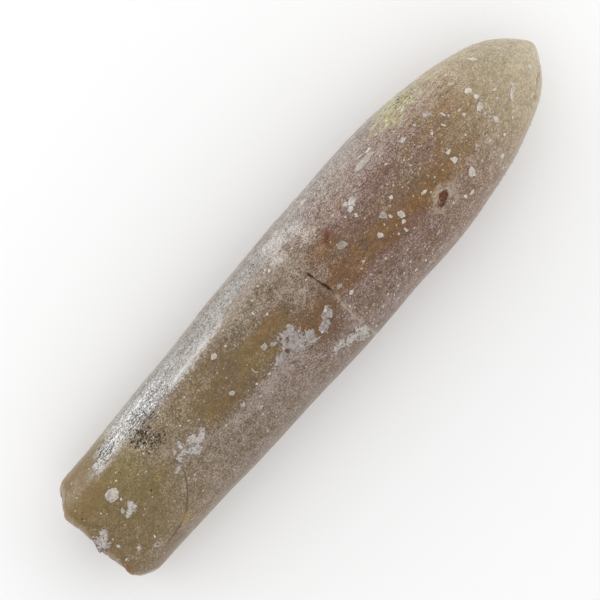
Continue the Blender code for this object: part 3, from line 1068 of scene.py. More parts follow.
    def frost(self, coat: Coat, skin: Skin) -> Wire:
        """Lays the pale bloom, which is grainy and leaves some places bare.

        Args:
            coat: What it is laid on.
            skin: Where it is read.

        Returns:
            How much of it covers.
        """
        bench = coat.bench
        cover = self.frost_cover + sway(skin.cloud, 0.8) + sway(skin.mottle, 1.2)
        for zone in self.frosted:
            cover = cover + skin.inside(zone)
        for stain in self.bare:
            cover = cover - stain.mask(bench, skin.ripple) * self.bareness
        cover = cover + self.shoreline.mask(bench, skin.ripple)
        speckle = 0.46 * skin.grain + 0.28 * skin.sugar + 0.26 * skin.grit
        frost = bench.step(speckle + 0.34 * cover, *self.frost_cut)
        tone = bench.mix(bench.step(skin.across, *self.frost_across), Tone.LILAC, Tone.FROST)
        for zone, other in self.frost_tones:
            tone = bench.mix(skin.inside(zone), tone, other)
        coat.paint(frost, tone, strength=0.72)
        # the pale haze, partly a painted sheen, grainier where it thins
        thin = 0.46 + 0.46 * bench.step(speckle, *self.veil_cut)
        coat.paint(self.haze_and_sheen.mask(bench, skin.loose) * thin, self.haze_and_sheen.tone)
        coat.relief = coat.relief + 0.030 * skin.grain * cover + 0.012 * skin.sugar
        streak = bench.step(skin.fibre, *self.streak_cut) * (0.3 + skin.inside(self.streaked))
        speckling = sway(skin.grain, 0.50) + sway(skin.sugar, 0.46) + sway(skin.grit, 0.30)
        liveliness = 1.0 + skin.inside(self.busy) - skin.inside(self.calm)
        # the light term takes away the painted shade near the apex
        light = self.frost_light + 0.14 * streak - skin.inside(self.painted_shade_apex)
        light = light + sway(skin.cloud, 0.9) * (1.0 - skin.upper) + sway(skin.mottle, 0.45)
        coat.shade(light + speckling * liveliness)
        return frost

    def silver_and_sheen(self, coat: Coat, skin: Skin) -> Wire:
        """Lays the silvery band along the flattened shoulder: a silver patina with painted sheen
        over it, a pale line along its edge, and painted glints where it is brightest.

        Args:
            coat: What it is laid on.
            skin: Where it is read.

        Returns:
            How much of it covers.
        """
        bench = coat.bench
        edge = bench.curve(skin.along, self.silver_edge, self.silver_range)
        softness = self.silver_softness
        for zone in self.silver_softer:
            softness = softness + skin.inside(zone)
        inside = skin.across - edge + sway(skin.mottle, 1.5) + sway(skin.grit, 0.5)
        band = bench.step(inside / softness, *self.silver_cut)
        band = band * bench.step(skin.up, *self.silver_heights) * skin.inside(self.silver_run)
        for gap in self.silver_gaps:
            band = band * (1.0 - skin.inside(gap))
        streaky = 0.45 * skin.fibre + 0.35 * skin.grain + 0.20 * skin.sugar
        streaks = bench.step(streaky, *self.silver_streaks)
        # the silver patina and its painted sheen
        coat.paint(band * (0.10 + 0.62 * streaks), Tone.SILVER_SHEEN)
        rim = bench.step(abs(inside), *self.rim_line) * skin.inside(self.rim_run)
        coat.paint(rim * bench.step(skin.grit, *self.rim_grit), Tone.CHALK, strength=0.5, rise=0.04)
        # painted glints in streaks where the band is brightest
        bright = skin.inside(self.bright_run) * band
        shiny = 0.55 * skin.fibre + 0.25 * skin.sugar + 0.20 * skin.grit
        shine = bright * bench.step(shiny, *self.glint_cut)
        coat.paint(shine, Tone.GLINT, strength=0.90, rise=0.02)
        coat.relief = coat.relief + bright * (0.04 * skin.sugar + 0.07 * skin.grain)
        return band

    def fracture(self, coat: Coat, skin: Skin, shape: GuardShape) -> None:
        """Marks the healed fracture, pale where it is closed and dark where it gapes.

        Args:
            coat: What it is laid on.
            skin: Where it is read.
            shape: The guard's form.
        """
        bench = coat.bench
        off_line = abs(bench.trait("off_fracture") + sway(skin.grit, 0.3))
        halo = bench.step(off_line, *self.halo_line) * skin.inside(self.healed)
        coat.paint(halo * bench.step(skin.grit, *self.halo_grit), Tone.SEAM, strength=0.45)
        seam = bench.step(off_line, *self.seam_line) * skin.inside(self.seam_run)
        coat.paint(seam * (0.20 + 0.50 * bench.step(skin.mottle, *self.seam_mottle)), Tone.SEAM)
        low, high = shape.opening
        soft = self.opening_soft
        gape = skin.inside(Zone(across=((low - soft, low + soft), (high + soft, high - soft))))
        dashes = bench.noise(bench.join(skin.across, self.dash_layer, 0.0), scale=1.6)
        stray = bench.noise(skin.at, scale=1.7, rough=0.6)
        swelling = bench.step(abs(skin.across - self.gap_middle), *self.gap_swelling)
        wide = 0.06 + 0.14 * bench.step(dashes, *self.gap_dashes) + 0.10 * swelling
        gap = bench.step((off_line + 0.5 * abs(stray - 0.5)) / wide, *self.gap_line)
        coat.blacken(gap * gape * skin.upper, Tone.CRACK, strength=0.80, dent=0.05)
        brown = bench.step(off_line, *self.brown_line) * gape
        coat.paint(brown * bench.step(stray, *self.brown_cut), Tone.UMBER, strength=0.65)

    def small_marks(self, coat: Coat, skin: Skin) -> None:
        """Lays the hairline crack, the pit's colours, the fibrous patch, stains and scratches.

        Args:
            coat: What they are laid on.
            skin: Where it is read.
        """
        bench = coat.bench
        dash = bench.noise(bench.stretch(skin.at, along=0.35, around=1.3), scale=2.4, rough=0.6)
        fibrous = self.fibrous.mask(bench, skin.loose) * bench.step(dash, *self.fibrous_dashes)
        coat.paint(fibrous, self.fibrous.tone, strength=0.90, rise=0.03)
        white = fibrous * bench.step(dash, *self.fibrous_white)
        coat.paint(white, Tone.CHALK, strength=0.7, rise=0.03)
        hairline = bench.curve(skin.along, self.hairline, self.hairline_range)
        off_hair = abs(skin.across - hairline + sway(skin.grit, 0.3))
        hair = bench.step(off_hair, *self.hairline_line) * skin.upper
        coat.paint(hair * skin.inside(self.hairline_run), Tone.UMBER, strength=0.85, rise=-0.06)
        for stain in self.pit_fringe:
            fringe = stain.mask(bench, skin.ripple) * bench.step(skin.grit, *self.fringe_grit)
            coat.paint(fringe, stain.tone)
        hole = self.pit[0].mask(bench, skin.ripple) | self.pit[1].mask(bench, skin.ripple)
        coat.paint(hole, Tone.RUST)
        coat.paint(hole * bench.step(skin.grit, *self.pit_grit), Tone.CRACK, strength=0.50)
        coat.paint(hole * bench.step(skin.grain, *self.pit_grain), Tone.HONEY, strength=0.55)
        for stain in self.marks:
            coat.mark(stain, skin.ripple)
        wriggle = abs(bench.noise(skin.at, scale=1.1, detail=1.0) - 0.5)
        wriggle = self.squiggle.mask(bench, skin.flat) * bench.step(wriggle, *self.wriggle_line)
        coat.paint(wriggle, self.squiggle.tone)
        for scratch in self.scratches:
            coat.mark(scratch, skin.ripple)

    def specks(self, coat: Coat, skin: Skin) -> None:
        """Lays the black grime with painted glints among it, the dark pores and the white flecks.

        Args:
            coat: What they are laid on.
            skin: Where it is read.
        """
        bench = coat.bench
        share = self.grime[0].mask(bench, skin.ripple)
        for zone in self.grime[1:]:
            share = share | zone.mask(bench, skin.ripple)
        coat.paint(share * bench.step(skin.mottle, *self.grime_mottle), Tone.UMBER, strength=0.30)
        # painted glints between the soot specks
        glints = bench.specks(skin.crumbly, scale=2.6, share=share * 0.75, size=0.17)
        coat.paint(glints, Tone.GLINT, strength=0.60, rise=0.02)
        streaky = bench.stretch(skin.at, along=0.62, around=1.20)
        blots = bench.noise(streaky, scale=3.0, detail=3.0, rough=0.7) + 0.24 * share
        soot = bench.step(blots, *self.soot_cut) * bench.step(share, *self.soot_limit) * 0.88
        soot = soot | bench.specks(skin.crumbly, scale=2.2, share=share * 0.42, size=0.20)
        for along, across, radius in self.dots:
            dot = Stain(along, across, radius, radius, Tone.SOOT, 0.85, 0.5)
            soot = soot | dot.mask(bench, skin.flat)
        coat.blacken(soot, Tone.SOOT, strength=1.0, dent=0.06)
        pores = bench.specks(skin.crumbly, scale=0.9, share=0.14, size=0.14)
        coat.paint(pores, Tone.UMBER, strength=0.7, rise=-0.05)
        rich = skin.inside(self.lower_half) | skin.inside(self.apex_end) | skin.inside(self.crown)
        dashed = bench.stretch(skin.crumbly, along=0.7, around=1.0)
        flecks = bench.specks(dashed, scale=1.3, share=0.10 + 0.24 * rich, size=0.20)
        flecks = flecks | bench.specks(dashed, scale=2.6, share=0.09 + 0.15 * rich, size=0.13)
        coat.paint(flecks, Tone.CHALK, strength=0.8, rise=0.03)

    def make(self, shape: GuardShape) -> bpy.types.Material:
        """Makes the material.

        Args:
            shape: The guard's form, for its length and its fracture.

        Returns:
            The material.
        """
        bench = Bench("worn_calcite")
        skin = Skin(bench)
        ramp_at = bench.split(skin.loose)[0] * (1.0 / shape.length)
        ramp = bench.node("ShaderNodeValToRGB", {"stops": self.clear_stops}, {0: ramp_at})
        coat = Coat(bench, Wire(bench, ramp.outputs[0]), 0.020 * skin.fibre + 0.030 * skin.grit)
        self.clear(coat, skin)
        frost = self.frost(coat, skin)
        silver_and_sheen = self.silver_and_sheen(coat, skin)
        lip = bench.step(bench.trait("from_break") + sway(skin.mottle, 1.2), *self.lip_line)
        coat.paint(lip, Tone.SEAM, strength=0.35)
        self.fracture(coat, skin, shape)
        self.small_marks(coat, skin)
        self.specks(coat, skin)
        return bench.finish(
            Base_Color=coat.colour,
            Metallic=coat.black,
            Roughness=0.30 + 0.16 * frost - 0.06 * silver_and_sheen,
            Normal=bench.bump(coat.relief),
            IOR=CALCITE_BEND,
            Specular_IOR_Level=self.specular,
            Subsurface_Weight=self.subsurface,
            Subsurface_Radius=self.depth_of_light,
            Subsurface_Scale=MM,
        )


@dataclass(frozen=True)
class BreakFinish:
    """The broken face: brown calcite in fibres that run out from the alveolus."""

    heart: Colour = (0.050, 0.022, 0.009, 1.0)
    middle: Colour = (0.120, 0.058, 0.020, 1.0)
    edge: Colour = (0.190, 0.122, 0.056, 1.0)
    marl: Colour = (0.230, 0.185, 0.130, 1.0)
    depth_of_light: tuple[float, float, float] = (2.4, 1.3, 0.6)
    spoke_rates: tuple[float, float, float] = (0.3, 0.20, 7.0)
    ring_rate: float = 0.3
    heart_radii: Fade = (2.6, 10.5)
    middle_from: Fade = (0.0, 0.6)
    edge_from: Fade = (0.55, 1.0)
    alveolus_wall: Fade = (2.6, 2.0)
    marl_cut: Fade = (0.55, 0.85)

    def make(self, shape: GuardShape) -> bpy.types.Material:
        """Makes the material.

        Args:
            shape: The guard's form, for the middle of its front end.

        Returns:
            The material.
        """
        bench = Bench("broken_calcite")
        centre = shape.centre_at(0.0)
        at = bench.place()
        along, across, up = bench.split(bench.vector("SUBTRACT", at, (0.0, centre.y, centre.z)))
        radius = bench.measure("LENGTH", bench.join(0.0, across, up))
        turn = bench.maths("ARCTAN2", up, across)
        cloud = bench.noise(at, scale=0.35, detail=4.0, rough=0.6)
        grain = bench.noise(at, scale=2.6, detail=3.0, rough=0.6)
        rate_along, rate_out, rate_round = self.spoke_rates
        spokes = bench.join(turn * rate_round, radius * rate_out, along * rate_along)
        rays = bench.noise(spokes, scale=1.8, detail=3.0, rough=0.65)
        wavy = bench.join(radius + sway(cloud, 0.8), turn * self.ring_rate, 0.0)
        rings = bench.noise(wavy, scale=1.5, rough=0.6)
        outwards = bench.step(radius + sway(cloud, 4.5), *self.heart_radii)
        colour = bench.mix(bench.step(outwards, *self.middle_from), self.heart, self.middle)
        coat = Coat(bench, colour, 0.36 * rays + 0.20 * rings + 0.09 * grain)
        coat.paint(bench.step(outwards, *self.edge_from), self.edge)
        coat.shade(0.10 + 1.10 * rays + 0.70 * rings + sway(grain, 0.5))
        inside = bench.step(radius, *self.alveolus_wall)
        coat.paint(inside * bench.step(cloud + 0.5 * grain, *self.marl_cut), self.marl)
        return bench.finish(
            Base_Color=coat.colour,
            Roughness=0.34 + 0.25 * grain,
            Normal=bench.bump(coat.relief),
            IOR=CALCITE_BEND,
            Subsurface_Weight=0.2,
            Subsurface_Radius=self.depth_of_light,
            Subsurface_Scale=MM,
        )


@dataclass(frozen=True)
class ShellFinish:
    """Chips of old shell, from thin see-through films to white plates."""

    film: Colour = (0.275, 0.222, 0.184, 1.0)
    white: Colour = (0.590, 0.545, 0.490, 1.0)
    depth_of_light: tuple[float, float, float] = (0.8, 0.6, 0.5)

    def make(self) -> bpy.types.Material:
        """Makes the material.

        Returns:
            The material.
        """
        bench = Bench("shell")
        at = bench.place()
        cloud = bench.noise(at, scale=1.3, detail=3.0, rough=0.6)
        grain = bench.noise(at, scale=3.0, rough=0.7)
        share = bench.trait("pallor") + sway(cloud, 0.9) + sway(grain, 0.5)
        coat = Coat(bench, bench.mix(share, self.film, self.white), 0.05 * grain + 0.06 * cloud)
        coat.shade(0.98 + sway(grain, 0.9) + sway(cloud, 0.7))
        pores = bench.specks(at, scale=1.6, share=0.26, size=0.15)
        coat.paint(pores, Tone.UMBER, strength=0.6, rise=-0.03)
        return bench.finish(
            Base_Color=coat.colour,
            Roughness=0.34 + 0.2 * cloud,
            Normal=bench.bump(coat.relief),
            IOR=SHELL_BEND,
            Subsurface_Weight=0.15,
            Subsurface_Radius=self.depth_of_light,
            Subsurface_Scale=MM,
        )


@dataclass(frozen=True)
class ChalkFinish:
    """Matt chalk crust, lilac-grey and grainy, or whiter where it carries more pallor."""

    pale: Colour = (0.300, 0.250, 0.236, 1.0)
    dim: Colour = (0.150, 0.106, 0.082, 1.0)
    white: Colour = (0.540, 0.500, 0.455, 1.0)
    pale_cut: Fade = (0.40, 0.74)
    white_cut: Fade = (0.40, 0.76)
    rim_inner: Fade = (0.05, 0.30)
    rim_outer: Fade = (0.95, 0.55)
    rim_grain: Fade = (0.40, 0.56)
    root_line: Fade = (0.035, 0.012)

    def make(self) -> bpy.types.Material:
        """Makes the material.

        Returns:
            The material.
        """
        bench = Bench("chalk_crust")
        at = bench.place()
        crumbly = bench.vector("ADD", at, bench.drift(at, scale=3.0, reach=0.13))
        cloud = bench.noise(at, scale=0.9, detail=3.0, rough=0.6)
        grain = bench.noise(at, scale=2.8, rough=0.7)
        thick = bench.trait("thickness")
        share = bench.step(0.55 * cloud + 0.45 * grain + 0.30 * thick, *self.pale_cut)
        coat = Coat(bench, bench.mix(share, self.dim, self.pale), 0.06 * grain + 0.05 * cloud)
        chalky = bench.step(grain + 0.3 * thick, *self.white_cut)
        coat.paint(bench.trait("pallor") * chalky, self.white)
        rim = bench.step(thick, *self.rim_inner) * bench.step(thick, *self.rim_outer)
        coat.paint(rim * bench.step(grain, *self.rim_grain), self.white, strength=0.50, rise=0.02)
        crumbs = bench.specks(crumbly, scale=1.5, share=0.18, size=0.15)
        coat.paint(crumbs, self.white, strength=0.7, rise=0.04)
        roots = abs(bench.noise(crumbly, scale=1.3, rough=0.6) - 0.5)
        coat.paint(bench.step(roots, *self.root_line), self.dim, strength=0.55, rise=-0.05)
        pores = bench.specks(crumbly, scale=1.8, share=0.26, size=0.18)
        coat.paint(pores, Tone.UMBER, strength=0.85, rise=-0.08)
        coat.shade(0.97 + sway(grain, 1.0) + sway(cloud, 0.5))
        return bench.finish(
            Base_Color=coat.colour,
            Roughness=0.55 + 0.2 * grain,
            Normal=bench.bump(coat.relief),
            IOR=CHALK_BEND,
        )


@dataclass(frozen=True)
class PaperFinish:
    """Plain pale paper for the floor."""

    colour: Colour = (0.93, 0.93, 0.93, 1.0)

    def make(self) -> bpy.types.Material:
        """Makes the material.

        Returns:
            The material.
        """
        return Bench("pale_paper").finish(Base_Color=self.colour, Roughness=0.9)


class FossilMesh:
    """Gathers points and faces in millimetres and makes a mesh object of them."""

    def __init__(self) -> None:
        """Starts with nothing."""
        self.points: list[Vector] = []
        self.faces: list[tuple[int, ...]] = []
        self.finish_of: list[int] = []
        self.traits: dict[str, list[float]] = {}

    def note(self, name: str, values: list[float]) -> None:
        """Adds what the newest points carry.

        Args:
            name: The name that a shader reads it by.
            values: A value for each of those points.
        """
        self.traits.setdefault(name, []).extend(values)

    def add_rings(self, rings: list[list[Vector]], tip: Vector, end: Vector | None = None) -> None:
        """Adds a point and rings of points around it, joined one to the next.

        Args:
            rings: The rings, with as many points each.
            tip: The point that closes the first ring.
            end: The point that closes the last ring, where it is closed.
        """
        around = len(rings[0])
        first = len(self.points) + 1
        self.points.append(tip)
        for ring in rings:
            self.points.extend(ring)
        for k in range(around):
            self.faces.append((first - 1, first + k, first + (k + 1) % around))
        for row in range(len(rings) - 1):
            inner, outer = first + row * around, first + (row + 1) * around
            for k in range(around):
                after = (k + 1) % around
                self.faces.append((inner + k, outer + k, outer + after, inner + after))
        if end is None:
            return
        last = len(self.points)
        self.points.append(end)
        for k in range(around):
            self.faces.append((last, last - around + (k + 1) % around, last - around + k))

    def add_slab(self, faces: list[tuple[int, ...]], under: dict[int, Vector]) -> None:
        """Adds a sheet of faces with an underside and a wall round its edge.

        Args:
            faces: The sheet's faces, on points that are there already.
            under: The point under each of its points.
        """
        first = len(self.points)
        below = {number: first + k for k, number in enumerate(under)}
        self.points.extend(under.values())
        edges = {(face[k - 1], face[k]) for face in faces for k in range(len(face))}
        self.faces.extend(faces)
        self.faces.extend(tuple(below[number] for number in reversed(face)) for face in faces)
        for start, stop in sorted(edges):
            if (stop, start) not in edges:
                self.faces.append((stop, start, below[start], below[stop]))

    def make(
        self, name: str, materials: list[bpy.types.Material], shift: Vector
    ) -> bpy.types.Object:
        """Makes the object.

        Args:
            name: Its name.
            materials: Its materials, which finish_of picks from for each face.
            shift: Where the guard's own frame is in the row frame.

        Returns:
            The object, in the scene.
        """
        mesh = bpy.data.meshes.new(name)
        mesh.from_pydata([point * MM for point in self.points], [], self.faces)
        for material in materials:
            mesh.materials.append(material)
        if self.finish_of:
            mesh.polygons.foreach_set("material_index", self.finish_of)
        for trait, values in self.traits.items():
            mesh.attributes.new(trait, "FLOAT", "POINT").data.foreach_set("value", values)
        mesh.shade_smooth()
        made = bpy.data.objects.new(name, mesh)
        made.location = shift
        bpy.context.scene.collection.objects.link(made)
        return made


@dataclass
class Guard:
    """The guard itself, from its apex to the bottom of its alveolus."""

    shape: GuardShape = field(default_factory=GuardShape)
    around: int = 232
    cap_rows: int = 26
    cap_from: float = 96.0
    row_step: float = 0.36
    fine_rows: tuple[tuple[float, float, float], ...] = (  # from, to, step
        (50.3, 52.8, 0.11), (71.4, 75.4, 0.18), (0.8, 8.0, 0.25),
    )
    rim_rows: int = 5
    break_rows: int = 24
    cone_rows: int = 20
    farthest_trait: float = 5.0

    def row_places(self) -> list[float]:
        """The places of the rows along the guard.

        Returns:
            Distances from the broken end, from the apex down to the rim.
        """
        shape = self.shape
        reach_to = (self.cap_from - shape.apex_from) / (shape.length - shape.apex_from)
        last_turn = math.acos(reach_to ** (0.5 * shape.apex_fullness))
        places = []
        for row in range(1, self.cap_rows + 1):
            reach = math.cos(last_turn * row / self.cap_rows) ** (2.0 / shape.apex_fullness)
            places.append(shape.apex_from + (shape.length - shape.apex_from) * reach)
        along = self.cap_from
        while along > shape.rim_radius:
            step = self.row_step
            for low, high, fine in self.fine_rows:
                if low <= along <= high:
                    step = fine
            along = max(shape.rim_radius, along - step)
            places.append(along)
        return places

    def profile(self) -> tuple[list[tuple[float, float]], int]:
        """The turned profile.

        Returns:
            Distances along and from the axis, and how many of them are on the worn skin.
        """
        shape = self.shape
        rows = [(along, shape.radius_at(along)) for along in self.row_places()]
        for row in range(1, self.rim_rows + 1):
            turn = 0.5 * math.pi * row / self.rim_rows
            drop = shape.rim_radius * (1.0 - math.cos(turn))
            rows.append((shape.rim_radius * (1.0 - math.sin(turn)), shape.front_radius - drop))
        worn = len(rows)
        inner = shape.front_radius - shape.rim_radius
        for row in range(1, self.break_rows + 1):
            rows.append((0.0, inner + (shape.alveolus_radius - inner) * row / self.break_rows))
        for row in range(1, self.cone_rows):
            share = row / self.cone_rows
            rows.append((shape.alveolus_depth * share, shape.alveolus_radius * (1.0 - share)))
        return rows, worn

    def build(self, shift: Vector) -> bpy.types.Object:
        """Builds the guard and dresses it.

        Args:
            shift: Where the guard's own frame is in the row frame.

        Returns:
            The guard.
        """
        shape = self.shape
        rows, worn = self.profile()
        turns = [math.tau * k / self.around for k in range(self.around)]
        rings = [[shape.place(along, radius, turn) for turn in turns] for along, radius in rows]
        gathered = FossilMesh()
        bottom = shape.place(shape.alveolus_depth, 0.0, 0.0)
        gathered.add_rings(rings, shape.centre_at(shape.length), bottom)
        far = self.farthest_trait
        gathered.note("from_break", [far])
        gathered.note("off_fracture", [far])
        for (along, radius), ring in zip(rows, rings):
            gathered.note("from_break", [min(far, along)] * self.around)
            off = [shape.off_fracture(Vector((along, point.y, point.z))) for point in ring]
            gathered.note("off_fracture", [max(-far, min(far, value)) for value in off])
        gathered.note("from_break", [far])
        gathered.note("off_fracture", [far])
        skin_faces = self.around * worn
        gathered.finish_of = [int(number >= skin_faces) for number in range(len(gathered.faces))]
        finishes = [CalciteFinish().make(shape), BreakFinish().make(shape)]
        made = gathered.make("guard", finishes, shift)
        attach(made, "root")
        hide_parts("rostrum")
        return made


@dataclass(frozen=True)
class Chip:
    """A chip of shell, placed from the top view. Pallor 0 is a thin film, and 1 is white."""

    along: float
    across: float
    length: float
    width: float
    turn: float
    pallor: float = 0.8


@dataclass
class ShellChips:
    """The chips of shell and the small flakes that sit on the skin."""

    shape: GuardShape = field(default_factory=GuardShape)
    height: float = 0.15
    root: float = 0.12
    chips: tuple[Chip, ...] = each(
        Chip,
        (7.0, 2.7, 2.5, 2.2, 15, 0.45), (2.0, -3.0, 0.9, 0.8, 0), (3.8, -5.5, 1.0, 0.8, 30, 0.6),
        (16.6, -2.2, 1.5, 0.9, 20, 0.5), (30.5, -0.7, 1.1, 1.0, 0, 0.5),
        (32.8, 4.8, 1.6, 1.1, -10, 0.45), (39.0, 0.1, 1.2, 1.3, 0, 0.3),
        (53.1, -2.3, 1.9, 0.8, -10, 0.2), (53.5, -4.3, 1.2, 0.8, 10, 0.4),
        (57.8, 1.4, 1.9, 1.6, -30, 0.12), (65.4, -0.3, 1.3, 1.3, 0, 0.3),
        (67.3, -2.2, 1.2, 1.5, 10, 0.75), (66.7, -3.2, 1.0, 0.8, 20, 0.9),
        (66.0, -4.3, 0.7, 1.4, 10, 0.8), (62.8, -1.9, 1.1, 1.1, 30, 0.75),
        (72.0, -2.7, 1.2, 0.6, -10, 0.85), (69.6, 7.0, 4.2, 1.8, 3, 0.42),
        (71.1, 7.1, 1.2, 1.2, 0, 0.7), (75.8, 4.8, 1.5, 1.0, -15, 0.65),
        (79.1, -6.0, 2.1, 1.8, 0, 0.75), (76.7, -8.1, 1.2, 0.7, 0, 0.95),
        (78.7, -2.8, 1.1, 1.3, -20, 0.95), (81.1, 4.7, 1.2, 1.4, 0, 0.3),
        (87.9, 2.3, 1.5, 1.2, -25, 0.6), (87.2, -0.5, 1.7, 1.4, 10, 0.3),
        (87.4, -3.6, 1.0, 1.0, 30, 0.85), (90.7, -0.5, 1.5, 0.8, 0, 0.6),
        (92.1, 4.8, 2.2, 0.8, -60, 0.55), (91.8, -2.8, 1.9, 0.6, 38, 0.7),
    )
    flakes: tuple[Chip, ...] = each(
        Chip,
        (59.2, 10.0, 1.6, 0.8, 0, 0.7), (48.0, 7.0, 0.8, 0.4, 20, 0.9),
        (43.5, 9.6, 0.8, 0.5, 10, 0.9), (96.8, -2.4, 0.8, 1.0, 0, 0.9),
        (86.5, -6.1, 0.7, 0.6, 0, 0.9), (84.0, -7.9, 0.7, 0.8, 0, 0.95),
        (75.7, -7.8, 0.9, 0.8, 0, 0.9), (79.0, -1.4, 1.2, 0.7, 10, 0.9),
        (88.0, 0.8, 0.9, 0.9, 0, 0.85), (68.2, 0.5, 0.8, 0.8, 0, 0.95),
        (93.0, -2.1, 0.8, 0.4, 30, 0.8), (1.4, -5.2, 0.6, 0.5, 0, 0.9),
        (7.6, 1.3, 0.6, 0.5, 0, 0.9), (34.0, -2.6, 0.5, 0.5, 0, 1.0), (62.8, 2.9, 0.5, 0.4, 0, 0.9),
        (66.0, -1.2, 0.5, 0.8, 10, 0.6), (46.3, -4.9, 0.6, 0.6, 0, 1.0),
        (50.1, -8.3, 0.7, 0.5, 0, 1.0), (49.0, -3.2, 0.9, 0.8, 0, 1.0),
        (81.5, 1.8, 0.35, 1.1, 20, 0.9), (82.7, 2.9, 0.4, 1.1, 10, 0.8),
        (79.4, 2.2, 1.0, 0.6, 0, 0.7), (83.1, 2.1, 0.5, 0.5, 0, 0.8),
        (82.5, -1.7, 0.6, 0.4, 0, 0.8), (36.2, -2.9, 0.5, 0.5, 0, 0.8),
        (9.2, 3.7, 0.5, 0.4, 0, 0.7), (10.1, 4.5, 0.4, 0.3, 0, 0.7), (87.1, 4.8, 0.3, 0.7, 30, 0.9),
        (84.7, 0.5, 0.6, 0.5, 0, 0.8), (69.0, -8.2, 0.9, 0.4, 20, 0.9),
        (62.5, -9.4, 0.6, 0.6, 0, 1.0), (60.8, -4.8, 0.5, 0.4, 0, 0.8),
        (58.3, -2.6, 0.7, 0.5, 0, 0.5), (6.7, -6.1, 0.35, 0.9, -15, 0.9),
        (96.5, -0.3, 0.3, 0.6, 10, 0.8), (89.9, -1.7, 0.5, 0.4, 0, 0.8),
        (64.6, -9.6, 0.5, 0.4, 0, 0.9), (55.2, -9.3, 0.5, 0.3, 10, 0.9),
        (59.8, -7.9, 0.6, 0.3, 30, 0.8), (79.4, 7.9, 1.3, 0.5, 25, 0.9),
        (78.9, 8.4, 0.9, 0.35, -30, 0.9), (80.6, 8.0, 0.8, 0.3, 60, 0.8),
        (71.4, 7.7, 1.4, 0.4, 5, 1.0), (69.8, 8.0, 1.6, 0.35, -3, 0.9),
        (54.4, -8.0, 0.6, 0.3, 15, 0.9), (57.0, -8.6, 0.7, 0.3, 5, 0.9),
        (59.0, -8.9, 0.5, 0.3, 0, 0.9), (61.0, -8.3, 0.6, 0.25, 20, 0.9),
    )
    sides: tuple[int, int] = (4, 7)
    raggedness: Span = (0.55, 1.18)
    corner_stray: float = 0.22
    jag: float = 0.09
    plain_up_to: float = 0.75
    side_points: int = 4
    # the pallor added makes each chip paler at its rim, a painted highlight along its edge
    rise: tuple[tuple[float, float, float], ...] = (  # shares of outline and height, pallor added
        (0.5, 1.0, -0.10), (0.84, 0.95, 0.0), (1.0, 0.55, 0.15),
    )
    skirt: float = 1.04
    heights: Span = (0.7, 1.2)
    thinness: tuple[float, float] = (0.45, 0.4)  # the smallest, and what a millimetre adds
    lean: float = 0.25
    least_bend: float = 1.0
    pallor_stray: float = 0.1
    seed: int = 11
    whiter_from: float = 80.0
    whiter_over: float = 8.0
    whiter_by: float = 0.45
    bottom: float = 1.5 * math.pi
    scattered: int = 420
    scattered_along: Span = (2.0, 98.5)
    scattered_clear: float = math.radians(28)
    scattered_width: Span = (0.35, 1.0)
    scattered_pallor: Span = (0.15, 1.0)
    sparse_share: float = 0.25
    denser_from: float = 66.0
    denser_over: float = 12.0
    flake_least: float = 0.17
    flake_range: float = 0.55
    flake_rarity: float = 2.8
    hidden: int = 34
    hidden_along: Span = (6.0, 94.0)
    hidden_angles: Span = (math.radians(186), math.radians(354))
    hidden_clear: float = math.radians(34)
    hidden_length: Span = (0.8, 2.1)
    hidden_width: Span = (0.5, 0.95)
    hidden_pallor: Span = (0.2, 0.95)
    sharp_angle: float = math.radians(35)

    def outline(self, chip: Chip, rng: random.Random) -> list[Vector]:
        """Draws a ragged polygon.

        Args:
            chip: Its size.
            rng: Picks its corners.

        Returns:
            Its points, about 1 from the middle.
        """
        corners = rng.randint(*self.sides)
        start = rng.uniform(0.0, math.tau)
        spots = []
        for k in range(corners):
            stray = rng.uniform(-self.corner_stray, self.corner_stray)
            turn = start + math.tau * (k + stray) / corners
            spots.append(Vector((math.cos(turn), math.sin(turn))) * rng.uniform(*self.raggedness))
        parts = self.side_points if chip.length > self.plain_up_to else 1
        points = []
        for k in range(corners):
            for part in range(parts):
                jag = 1.0 + rng.uniform(-self.jag, self.jag)
                points.append(spots[k].lerp(spots[(k + 1) % corners], part / parts) * jag)
        return points

    def plate(
        self, gathered: FossilMesh, along: float, angle: float, chip: Chip, rng: random.Random
    ) -> None:
        """Adds one chip, bent to the skin under it.

        Args:
            gathered: Where it is added.
            along: Its place along the guard.
            angle: Its place round the guard.
            chip: Its size, turn and pallor.
            rng: Picks its outline.
        """
        outline = self.outline(chip, rng)
        thinnest, thicker = self.thinness
        thickness = min(1.0, thinnest + thicker * chip.length)
        height = self.height * rng.uniform(*self.heights) * thickness
        lean = self.lean
        tilt = Vector((rng.uniform(-lean, lean), rng.uniform(-lean, lean)))
        turn = math.radians(chip.turn)
        radius = max(self.shape.radius_at(along), self.least_bend)

        def skin_point(spot: Vector, proud: float) -> Vector:
            """The point of the plate over a place in its own outline.

            Args:
                spot: The place in the outline.
                proud: How far the point stands off the skin.

            Returns:
                The point.
            """
            long, wide = 0.5 * chip.length * spot.x, 0.5 * chip.width * spot.y
            ahead = long * math.cos(turn) - wide * math.sin(turn)
            aside = long * math.sin(turn) + wide * math.cos(turn)
            spot_along, spot_angle = along + ahead, angle - aside / radius
            full = self.shape.radius_at(spot_along)
            return self.shape.place(spot_along, full, spot_angle, proud)

        pallor = chip.pallor + self.whiter_by * ease((along - self.whiter_from) / self.whiter_over)
        stray = self.pallor_stray
        rings = []
        gathered.note("pallor", [pallor])
        for share, rise, extra in self.rise:
            ring = []
            for spot in outline:
                leant = 1.0 + tilt.dot(spot * share)
                ring.append(skin_point(spot * share, height * rise * leant))
            rings.append(ring)
            gathered.note("pallor", [pallor + extra + rng.uniform(-stray, stray) for _ in outline])
        rings.append([skin_point(spot * self.skirt, -self.root) for spot in outline])
        gathered.note("pallor", [pallor] * (len(outline) + 1))
        middle = Vector((0.0, 0.0))
        gathered.add_rings(rings, skin_point(middle, height), skin_point(middle, -self.root))

